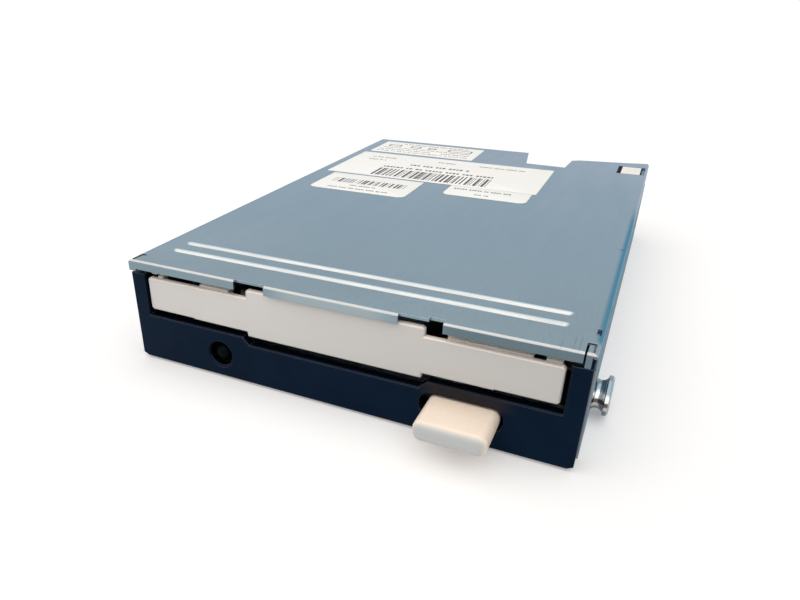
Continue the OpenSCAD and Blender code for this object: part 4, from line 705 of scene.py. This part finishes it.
def flex_film():
    return finish(
        "flex_film", (0.42, 0.17, 0.035), rough=0.28, vary=0.08, patch=8, grain=0.3, depth=0.002,
        paint=film_marks, Specular_IOR_Level=0.5,
    )


MATERIALS = (
    zinc_sheet, cast_alloy, plated_sheet, bright_steel, stud_steel, spring_steel, core_steel, copper_wire,
    bearing_bronze, gold_pins, tin, magnet, head_ferrite, dark_plastic, black_plastic, chip_plastic,
    door_plastic, button_plastic, white_plastic, lamp_plastic, label_paper, label_ink, circuit_board,
    board_print, part_ceramic, flex_film,
)


def dress_nodes(looks):
    """Gives each CAD node the look of its slot. The studs and the lamp's holder have their own."""
    for obj in nodes.values():
        slots = obj.data.materials
        for i, mat in enumerate(slots):
            slots[i] = looks[mat.name.split(".")[0]]
    nodes["mounting_studs"].data.materials[0] = looks["stud_steel"]
    # The lamp's holder takes the near-black lamp plastic too, as painted shade in its recess
    nodes["lamp_holder"].data.materials[0] = looks["lamp_plastic"]


# Mesh tools


def piece(name, bm, mats, slot, body, *replaced, sharp=32):
    """Makes an object of the mesh and puts it on a body. Edges that turn by over sharp degrees are hard."""
    for f in bm.faces:
        f.smooth = True
    for e in bm.edges:
        if len(e.link_faces) == 2 and e.calc_face_angle(0) > math.radians(sharp):
            e.smooth = False
    mesh = bpy.data.meshes.new(name)
    bm.normal_update()
    bm.to_mesh(mesh)
    bm.free()
    for mat in mats:
        mesh.materials.append(mat)
    obj = bpy.data.objects.new(name, mesh)
    scene.collection.objects.link(obj)
    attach(obj, body)
    if replaced:
        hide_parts(*replaced)


def turns(count):
    """Angles in radians, in equal steps round a circle."""
    return [math.radians(360 * k / count) for k in range(count)]


def quarter(start, steps):
    """Angles in radians over a quarter of a circle, from start in degrees, with both ends."""
    return [math.radians(start + 90 * k / steps) for k in range(steps + 1)]


def skin(bm, loops):
    """Faces over loops of equal count, closed at both ends."""
    rows = [[bm.verts.new(p) for p in loop] for loop in loops]
    n = len(rows[0])
    for a, b in zip(rows, rows[1:]):
        for i in range(n):
            bm.faces.new((a[i], a[(i + 1) % n], b[(i + 1) % n], b[i]))
    bm.faces.new(rows[0][::-1])
    bm.faces.new(rows[-1])


def face_out(bm):
    bmesh.ops.recalc_face_normals(bm, faces=bm.faces)


def box(bm, lo, hi):
    """A block between two corners."""
    sides = ((0, 2, 3, 1), (4, 5, 7, 6), (0, 1, 5, 4), (2, 6, 7, 3), (0, 4, 6, 2), (1, 3, 7, 5))
    v = [bm.verts.new(at(x, y, z)) for z in (lo[2], hi[2]) for y in (lo[1], hi[1]) for x in (lo[0], hi[0])]
    for side in sides:
        bm.faces.new([v[i] for i in side])


def patch(bm, x0, x1, y0, y1, z, up=True, index=0):
    """A flat rectangle that faces up or down."""
    c = [(x0, y0), (x1, y0), (x1, y1), (x0, y1)]
    v = [bm.verts.new(at(x, y, z)) for x, y in (c if up else c[::-1])]
    bm.faces.new(v).material_index = index


def outline(bm, x0, x1, y0, y1, z, width, up=True, index=0):
    """Four flat bars along the edges of a rectangle."""
    front, rear = (x0, x1, y0, y0 + width), (x0, x1, y1 - width, y1)
    left, right = (x0, x0 + width, y0, y1), (x1 - width, x1, y0, y1)
    for bar in (front, rear, left, right):
        patch(bm, *bar, z, up, index)


def inset(points, distance):
    """Outline moved inwards. The points run anticlockwise."""
    least = 0.2  # keeps the points of very sharp corners from running away
    moved = []
    count = len(points)
    for i in range(count):
        before, here, after = (Vector(points[j % count]) for j in (i - 1, i, i + 1))
        inwards = []
        for side in (here - before, after - here):
            along = side.normalized()
            inwards.append(Vector((-along.y, along.x)))
        first, second = inwards
        shift = (first + second) / max(least, 1 + first.dot(second))
        moved.append(tuple(here + shift * distance))
    return moved


# Paper labels, with plain bars in place of print

LABEL_TOP = COVER_TOP + 0.09
PRINT_Z = LABEL_TOP + 0.004
INK = 1


def label_sheet(bm, left, right, front, rear, corner):
    """A sheet with its front corners rounded and its upper edge softened."""
    glue, edge, edge_in, steps = 0.005, 0.02, 0.05, 6
    y = front + corner
    line = []
    for x, start in ((left + corner, 180), (right - corner, 270)):
        line += [(x + corner * math.cos(a), y + corner * math.sin(a)) for a in quarter(start, steps)]
    line += [(right, rear), (left, rear)]
    loops = [[at(x, y, z) for x, y in line] for z in (COVER_TOP + glue, LABEL_TOP - edge)]
    loops.append([at(x, y, LABEL_TOP) for x, y in inset(line, edge_in)])
    skin(bm, loops)


def label_bars(bm, x0, x1, y0, y1, seed, scale):
    """Bars of three widths and gaps of four, picked by number, which runs through a fixed series."""
    thin, thicker, gap, wider = 0.22, 0.3, 0.2, 0.24
    x = x0
    number = seed
    while x < x1:
        number = (number * 37 + 11) % 101
        width = (thin + thicker * (number % 3)) * scale
        if x + width < x1:
            patch(bm, x, x + width, y0, y1, PRINT_Z, index=INK)
        x += width + gap + wider * (number % 7 // 2)


def label_words(bm, x0, x1, y, height, seed):
    """Groups of letter-sized blocks, picked by number, which runs through a fixed series."""
    narrow, wider, letter_gap, word_gap, least_room = 0.45, 0.12, 0.25, 0.6, 0.5
    x = x0
    number = seed
    while x < x1 - least_room:
        number = (number * 53 + 7) % 97
        for letter in range(2 + number % 5):
            width = height * (narrow + wider * ((number + letter * 5) % 3))
            if x + width < x1:
                patch(bm, x, x + width, y, y + height, PRINT_Z, index=INK)
            x += width + letter_gap * height
        x += word_gap * height


def rear_label(bm):
    label_sheet(bm, left=-46, right=-6.8, front=127.9, rear=146.5, corner=0.4)
    for x0, x1, y, seed in (
        (-44.5, -9, 130.2, 1), (-44.5, -24, 133, 2), (-44, -9, 136, 3), (-20, -9, 133, 6)
    ):
        label_words(bm, x0, x1, y, 0.8, seed)
    label_words(bm, -38, -12, 143.4, 0.9, seed=4)
    for x0, x1, y0, y1 in (
        (-43, -38, 138.6, 141.6), (-34, -30, 138.8, 141.4), (-27, -24, 138.8, 141.4), (-19, -10, 138.4, 141.8)
    ):
        outline(bm, x0, x1, y0, y1, PRINT_Z, width=0.5, index=INK)


def wide_label(bm):
    label_sheet(bm, left=-47, right=22.5, front=93.3, rear=125.5, corner=0.4)
    label_bars(bm, -32, 7.4, 95, 104.6, seed=5, scale=1.0)
    for x0, x1, y, seed in ((-32, 7.2, 106.4, 3), (-24, -2, 111.6, 9)):
        label_words(bm, x0, x1, y, 1.5, seed)
    for x0, x1, y, seed in (
        (-16.4, -10.2, 119.6, 2), (-1.6, 14.6, 119.6, 6), (-41, -31, 118.8, 4), (-41, -34, 115, 8)
    ):
        label_words(bm, x0, x1, y, 0.9, seed)


def left_label(bm):
    label_sheet(bm, left=-43.4, right=-12, front=73, rear=92, corner=2.2)
    label_bars(bm, -39.6, -14.6, 81.6, 86.4, seed=23, scale=0.8)
    label_words(bm, -38, -17.6, 75.4, 0.8, seed=5)
    label_words(bm, -32, -22.8, 78.8, 0.8, seed=7)


def right_label(bm):
    label_sheet(bm, left=-3.3, right=21.5, front=82.4, rear=93, corner=2.2)
    label_words(bm, -1.6, 16, 89.4, 1.0, seed=11)
    label_words(bm, 6, 10.2, 85, 0.9, seed=12)


def make_labels(looks):
    bm = bmesh.new()
    for label in (rear_label, wide_label, left_label, right_label):
        label(bm)
    mats = [looks["label_paper"], looks["label_ink"]]
    piece("label_sheets", bm, mats, "label_paper", "chassis", "paper_labels")


# Door

BAR_RADIUS, PIN_RADIUS = 1.0, 0.9
HINGE_Y, HINGE_Z = 3.4, DOOR_HIGH.z - BAR_RADIUS
HINGE_BARS = ((-44.5, -42.7), (-33.0, -24.9), (23.95, 40.4), (42.1, 45.6))
HINGE_PINS = ((DOOR_LOW.x, -43.5), (42.9, DOOR_HIGH.x))


def door_outline():
    """The flap seen from the front, anticlockwise from its lower left corner."""
    half, shift = 46.35, -0.3
    low, high = 13.1, 21.3
    middle_low, middle_high = DOOR_LOW.z, 23.25
    left, right, slope = -19.9, 20.25, 0.2
    cut = 0.5
    end_x, end_rise = 34.4, 0.2
    end_low = low + end_rise
    line = [
        (-half, end_low + cut), (cut - half, end_low), (-end_x, end_low), (-end_x, low),
        (left - slope, low), (left, middle_low), (right - slope, middle_low), (right, low),
        (end_x, low), (end_x, end_low), (half - cut, end_low), (half, end_low + cut),
        (half, high - cut), (half - cut, high), (right, high), (right, middle_high - cut),
        (right - cut, middle_high), (left + cut, middle_high), (left, middle_high - cut), (left, high),
        (cut - half, high), (-half, high - cut),
    ]
    return [(x + shift, z) for x, z in line]


def door_plate(bm):
    """The flap, with a rounded front edge and a small bevel behind."""
    thick, bevel, edge_round, steps = 1.3, 0.12, 0.55, 4
    back = DOOR_LOW.y + thick
    line = door_outline()
    loops = [
        [at(x, back, z) for x, z in inset(line, bevel)],
        [at(x, back - bevel, z) for x, z in line],
    ]
    for a in quarter(0, steps):
        y = DOOR_LOW.y + edge_round * (1 - math.sin(a))
        loops.append([at(x, y, z) for x, z in inset(line, edge_round * (1 - math.cos(a)))])
    skin(bm, [loop[::-1] for loop in loops])


def hinge_rod(bm, x0, x1, radius, tip):
    """A rod on the hinge axis, with bevelled tips."""
    loops = []
    for x, r in ((x0, radius - tip), (x0 + tip, radius), (x1 - tip, radius), (x1, radius - tip)):
        loops.append([at(x, HINGE_Y + r * math.cos(a), HINGE_Z + r * math.sin(a)) for a in turns(24)])
    skin(bm, loops)


def make_door(looks):
    """Moulded flap with its hinge bars on ribs, and its pins."""
    rib_front, rib_rear, rib_low, rib_high, rib_in = 1.95, 3.8, 20.3, 21.75, 0.3
    bm = bmesh.new()
    door_plate(bm)
    for x0, x1 in HINGE_BARS:
        hinge_rod(bm, x0, x1, BAR_RADIUS, tip=0.2)
        box(bm, (x0 + rib_in, rib_front, rib_low), (x1 - rib_in, rib_rear, rib_high))
    for x0, x1 in HINGE_PINS:
        hinge_rod(bm, x0, x1, PIN_RADIUS, tip=0.25)
    face_out(bm)
    piece("door_panel", bm, [looks["door_plastic"]], "door_plastic", "door", "door_flap")


# Button

BUTTON_HALF_WIDTH = (BUTTON_HIGH.x - BUTTON_LOW.x) / 2
BUTTON_HALF_HEIGHT = (BUTTON_HIGH.z - BUTTON_LOW.z) / 2
BUTTON_ROUND = 1.7


def button_loop(y, in_x, in_z, corner):
    """The button's outline seen from the front, drawn in from its full size."""
    steps = 8
    wide = BUTTON_HALF_WIDTH - in_x - corner
    high = BUTTON_HALF_HEIGHT - in_z - corner
    points = []
    for sx, sz, start in ((1, 1, 0), (-1, 1, 90), (-1, -1, 180), (1, -1, 270)):
        for a in quarter(start, steps):
            x = BUTTON_MIDDLE.x + sx * wide + corner * math.cos(a)
            points.append(at(x, y, BUTTON_MIDDLE.z + sz * high + corner * math.sin(a)))
    return points


def button_pillow(bm):
    """Straight sides, a bevel behind and a nose that is rounder across than up."""
    back, bevel = 1.5, 0.15
    straight = (back - bevel, -1.5, -4.5, -7.5)
    nose, nose_wide, steps = 1.45, 1.2, 9
    loops = [button_loop(back, bevel, bevel, BUTTON_ROUND - bevel)]
    loops += [button_loop(y, 0, 0, BUTTON_ROUND) for y in straight]
    for a in quarter(0, steps):
        cut = nose * (1 - math.cos(a))
        y = BUTTON_LOW.y + nose * (1 - math.sin(a))
        loops.append(button_loop(y, cut * nose_wide, cut, BUTTON_ROUND - cut))
    skin(bm, loops)


def button_shank(bm):
    """Block behind the pillow, with a slot that takes the slide plate's tab."""
    low, high, front, rear = 5.1, 7.7, 1.1, BUTTON_HIGH.y
    slot_low, slot_high, slot_front, overlap = 5.55, 6.65, 3.4, 0.05
    half, slot_half = 5, 3.1
    left, right = BUTTON_MIDDLE.x - half, BUTTON_MIDDLE.x + half
    slot_left, slot_right = BUTTON_MIDDLE.x - slot_half, BUTTON_MIDDLE.x + slot_half
    box(bm, (left, front, low), (right, slot_front + overlap, high))
    for x0, x1, z0, z1 in (
        (left, slot_left, low, high),
        (slot_right, right, low, high),
        (slot_left, slot_right, slot_high, high),
        (slot_left, slot_right, low, slot_low),
    ):
        box(bm, (x0, slot_front, z0), (x1, rear, z1))


def make_button(looks):
    bm = bmesh.new()
    button_pillow(bm)
    button_shank(bm)
    face_out(bm)
    piece("button_cap", bm, [looks["button_plastic"]], "button_plastic", "slide", "eject_button", sharp=40)


# What the boards carry

# Middle, width, depth, and the number of sides with legs
CHIPS = ((-10, 112, 14, 14, 4), (18, 106, 10, 6.5, 2), (20, 126, 12, 6, 2), (26, 26, 11, 7, 2))
# Front left corner of the first part, pitch and count
PART_ROWS = ((-32, 96, 5, 6), (4, 93, 6, 4), (-32, 132, 6, 5), (-30, 22, 5, 3))
PART_LENGTH, PART_WIDTH, PART_HEIGHT = 2.4, 1.3, 0.8
TIN_LENGTH, TIN_THICK = 0.5, 0.02
# Middle, count and pitch of the pins that come through: interface, power, head cable, stepper cable, lamp
PIN_ROWS = (
    (-18, 138.92, 17, 2.54), (-18, 137.32, 17, 2.54), (17.3, 138.32, 4, 2.5),
    (0, 132.0, 6, 1.2), (28, 139.9, 4, 1.6), (-27.7, 6.05, 2, 2.54),
)


def chip_body(bm, x, y, width, depth):
    """Moulded body with a parting line, and a dimple that marks the first leg."""
    # Down from the board, and inwards
    profile = ((0.1, 0.22), (0.62, 0.0), (0.72, 0.0), (1.22, 0.2), (1.3, 0.3))
    dimple_in, dimple_down, dimple_r, steps = 1.5, 1.302, 0.5, 24
    loops = []
    for down, inwards in profile:
        a, b = width / 2 - inwards, depth / 2 - inwards
        corners = ((-a, -b), (-a, b), (a, b), (a, -b))
        loops.append([at(x + dx, y + dy, BOARD_FACE - down) for dx, dy in corners])
    skin(bm, loops)
    centre = at(x - width / 2 + dimple_in, y - depth / 2 + dimple_in, BOARD_FACE - dimple_down)
    rim = [centre + Vector((math.cos(a), math.sin(a), 0)) * dimple_r * MM for a in turns(steps)]
    for k in range(steps):
        corners = (centre, rim[(k + 1) % steps], rim[k])
        bm.faces.new([bm.verts.new(p) for p in corners]).material_index = 1


def chip_legs(bm, x, y, width, depth, sides):
    """Bent legs along two or four sides."""
    # Outwards, and down from the board
    profile = (
        (0, 0.62), (0.35, 0.62), (0.5, 0.14), (1.08, 0.1), (1.08, 0.0), (0.42, 0.02), (0.27, 0.5), (0, 0.5)
    )
    half, margin, pitch = 0.2, 1.6, 1.0
    for side in range(sides):
        front_or_rear = side < 2
        along, reach = (width, depth / 2) if front_or_rear else (depth, width / 2)
        sign = 1 if side % 2 else -1
        count = int((along - margin) / pitch) + 1
        for i in range(count):
            middle = (i - (count - 1) / 2) * pitch
            pair = []
            for edge in (middle - half, middle + half):
                row = []
                for outwards, down in profile:
                    off = sign * (reach + outwards)
                    dx, dy = (edge, off) if front_or_rear else (off, edge)
                    row.append(at(x + dx, y + dy, BOARD_FACE - down))
                pair.append(row)
            skin(bm, pair)


def make_chips(looks):
    body = bmesh.new()
    legs = bmesh.new()
    for x, y, width, depth, sides in CHIPS:
        chip_body(body, x, y, width, depth)
        chip_legs(legs, x, y, width, depth, sides)
    face_out(legs)
    mats = [looks["chip_plastic"], looks["black_plastic"]]
    piece("chip_bodies", body, mats, "chip_plastic", "chassis", "control_chips", sharp=12)
    piece("chip_legs", legs, [looks["tin"]], "gold_pins", "chassis", sharp=20)


def part_corners():
    """Front left corner of each small part."""
    return [(x + pitch * k, y) for x, y, pitch, count in PART_ROWS for k in range(count)]


def part_end(bm, x0, x1, y, side):
    """A tinned end, and the solder fillet on its left or right side, which is -1 or 1."""
    fillet, fillet_high, fillet_in = 0.5, 0.6, 0.05
    low = BOARD_FACE - PART_HEIGHT - TIN_THICK
    box(bm, (x0, y - TIN_THICK, low), (x1, y + PART_WIDTH + TIN_THICK, BOARD_FACE))
    edge = x0 if side < 0 else x1
    line = [(edge, BOARD_FACE - fillet_high), (edge + side * fillet, BOARD_FACE), (edge, BOARD_FACE)]
    ends = (y + fillet_in, y + PART_WIDTH - fillet_in)
    skin(bm, [[at(x, end, z) for x, z in line] for end in ends])


def make_part_ends(looks):
    bm = bmesh.new()
    for x, y in part_corners():
        right = x + PART_LENGTH
        part_end(bm, x - TIN_THICK, x + TIN_LENGTH, y, side=-1)
        part_end(bm, right - TIN_LENGTH, right + TIN_THICK, y, side=1)
    face_out(bm)
    piece("part_ends", bm, [looks["tin"]], "gold_pins", "chassis", sharp=25)


def make_solder(looks):
    """Solder cones with clipped pin ends on the underside of the boards."""
    # Down from the board, and radius
    cone = ((0.0, 0.62), (0.12, 0.56), (0.4, 0.38), (0.75, 0.25), (0.95, 0.22), (1.0, 0.12))
    bm = bmesh.new()
    for middle, y, count, pitch in PIN_ROWS:
        for k in range(count):
            x = middle + (k - (count - 1) / 2) * pitch
            loops = []
            for down, r in cone:
                ring = [(x + r * math.cos(a), y + r * math.sin(a)) for a in turns(12)]
                loops.append([at(px, py, BOARD_FACE - down) for px, py in ring])
            skin(bm, loops)
    face_out(bm)
    piece("solder_points", bm, [looks["tin"]], "gold_pins", "chassis", sharp=50)


def make_board_print(looks):
    """Outlines printed round the parts."""
    wide, narrow = 0.16, 0.12
    leg_room, bare_room = 1.6, 0.4
    part_room_x, part_room_y = 0.8, 0.4
    sockets = ((-40.2, 4.2, 136.2, 140.2), (11.4, 23.2, 137.2, 140.0))
    ink = 0.012
    z = BOARD_FACE - ink
    bm = bmesh.new()
    for x, y, width, depth, sides in CHIPS:
        a = width / 2 + (leg_room if sides > 2 else bare_room)
        b = depth / 2 + leg_room
        outline(bm, x - a, x + a, y - b, y + b, z, wide, up=False)
    for x, y in part_corners():
        x0, x1 = x - part_room_x, x + PART_LENGTH + part_room_x
        outline(bm, x0, x1, y - part_room_y, y + PART_WIDTH + part_room_y, z, narrow, up=False)
    for x0, x1, y0, y1 in sockets:
        outline(bm, x0, x1, y0, y1, z, wide, up=False)
    piece("board_print", bm, [looks["board_print"]], "label_paper", "chassis")


# Springs and cable


def make_flexing(name, node):
    """A copy of a spring or flat cable, which lies between the chassis and a moving body; it is set in place
    and hides its CAD node.
    """
    obj = bpy.data.objects.new(name, nodes[node].data.copy())
    scene.collection.objects.link(obj)
    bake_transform(obj)
    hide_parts(node)


make_camera()
make_floor()
make_world()
make_lamp("key", toward=(-0.06, -0.3, 0.95), strength=2.35, spread=105, colour=(1.0, 0.965, 0.925))
make_lamp("front_fill", toward=(0.2, -0.85, 0.45), strength=0.25, spread=80, colour=(0.86, 0.94, 1.0))
looks = {make.__name__: make() for make in MATERIALS}
dress_nodes(looks)
make_labels(looks)
make_door(looks)
make_button(looks)
make_chips(looks)
make_part_ends(looks)
make_solder(looks)
make_board_print(looks)
make_flexing(
    "slide_coils", "slide_springs",
)
make_flexing(
    "head_cable", "head_flex",
)
make_flexing(
    "door_coil", "door_spring",
)
make_flexing(
    "lever_coil", "lever_spring",
)

scene.view_settings.view_transform = "Standard"
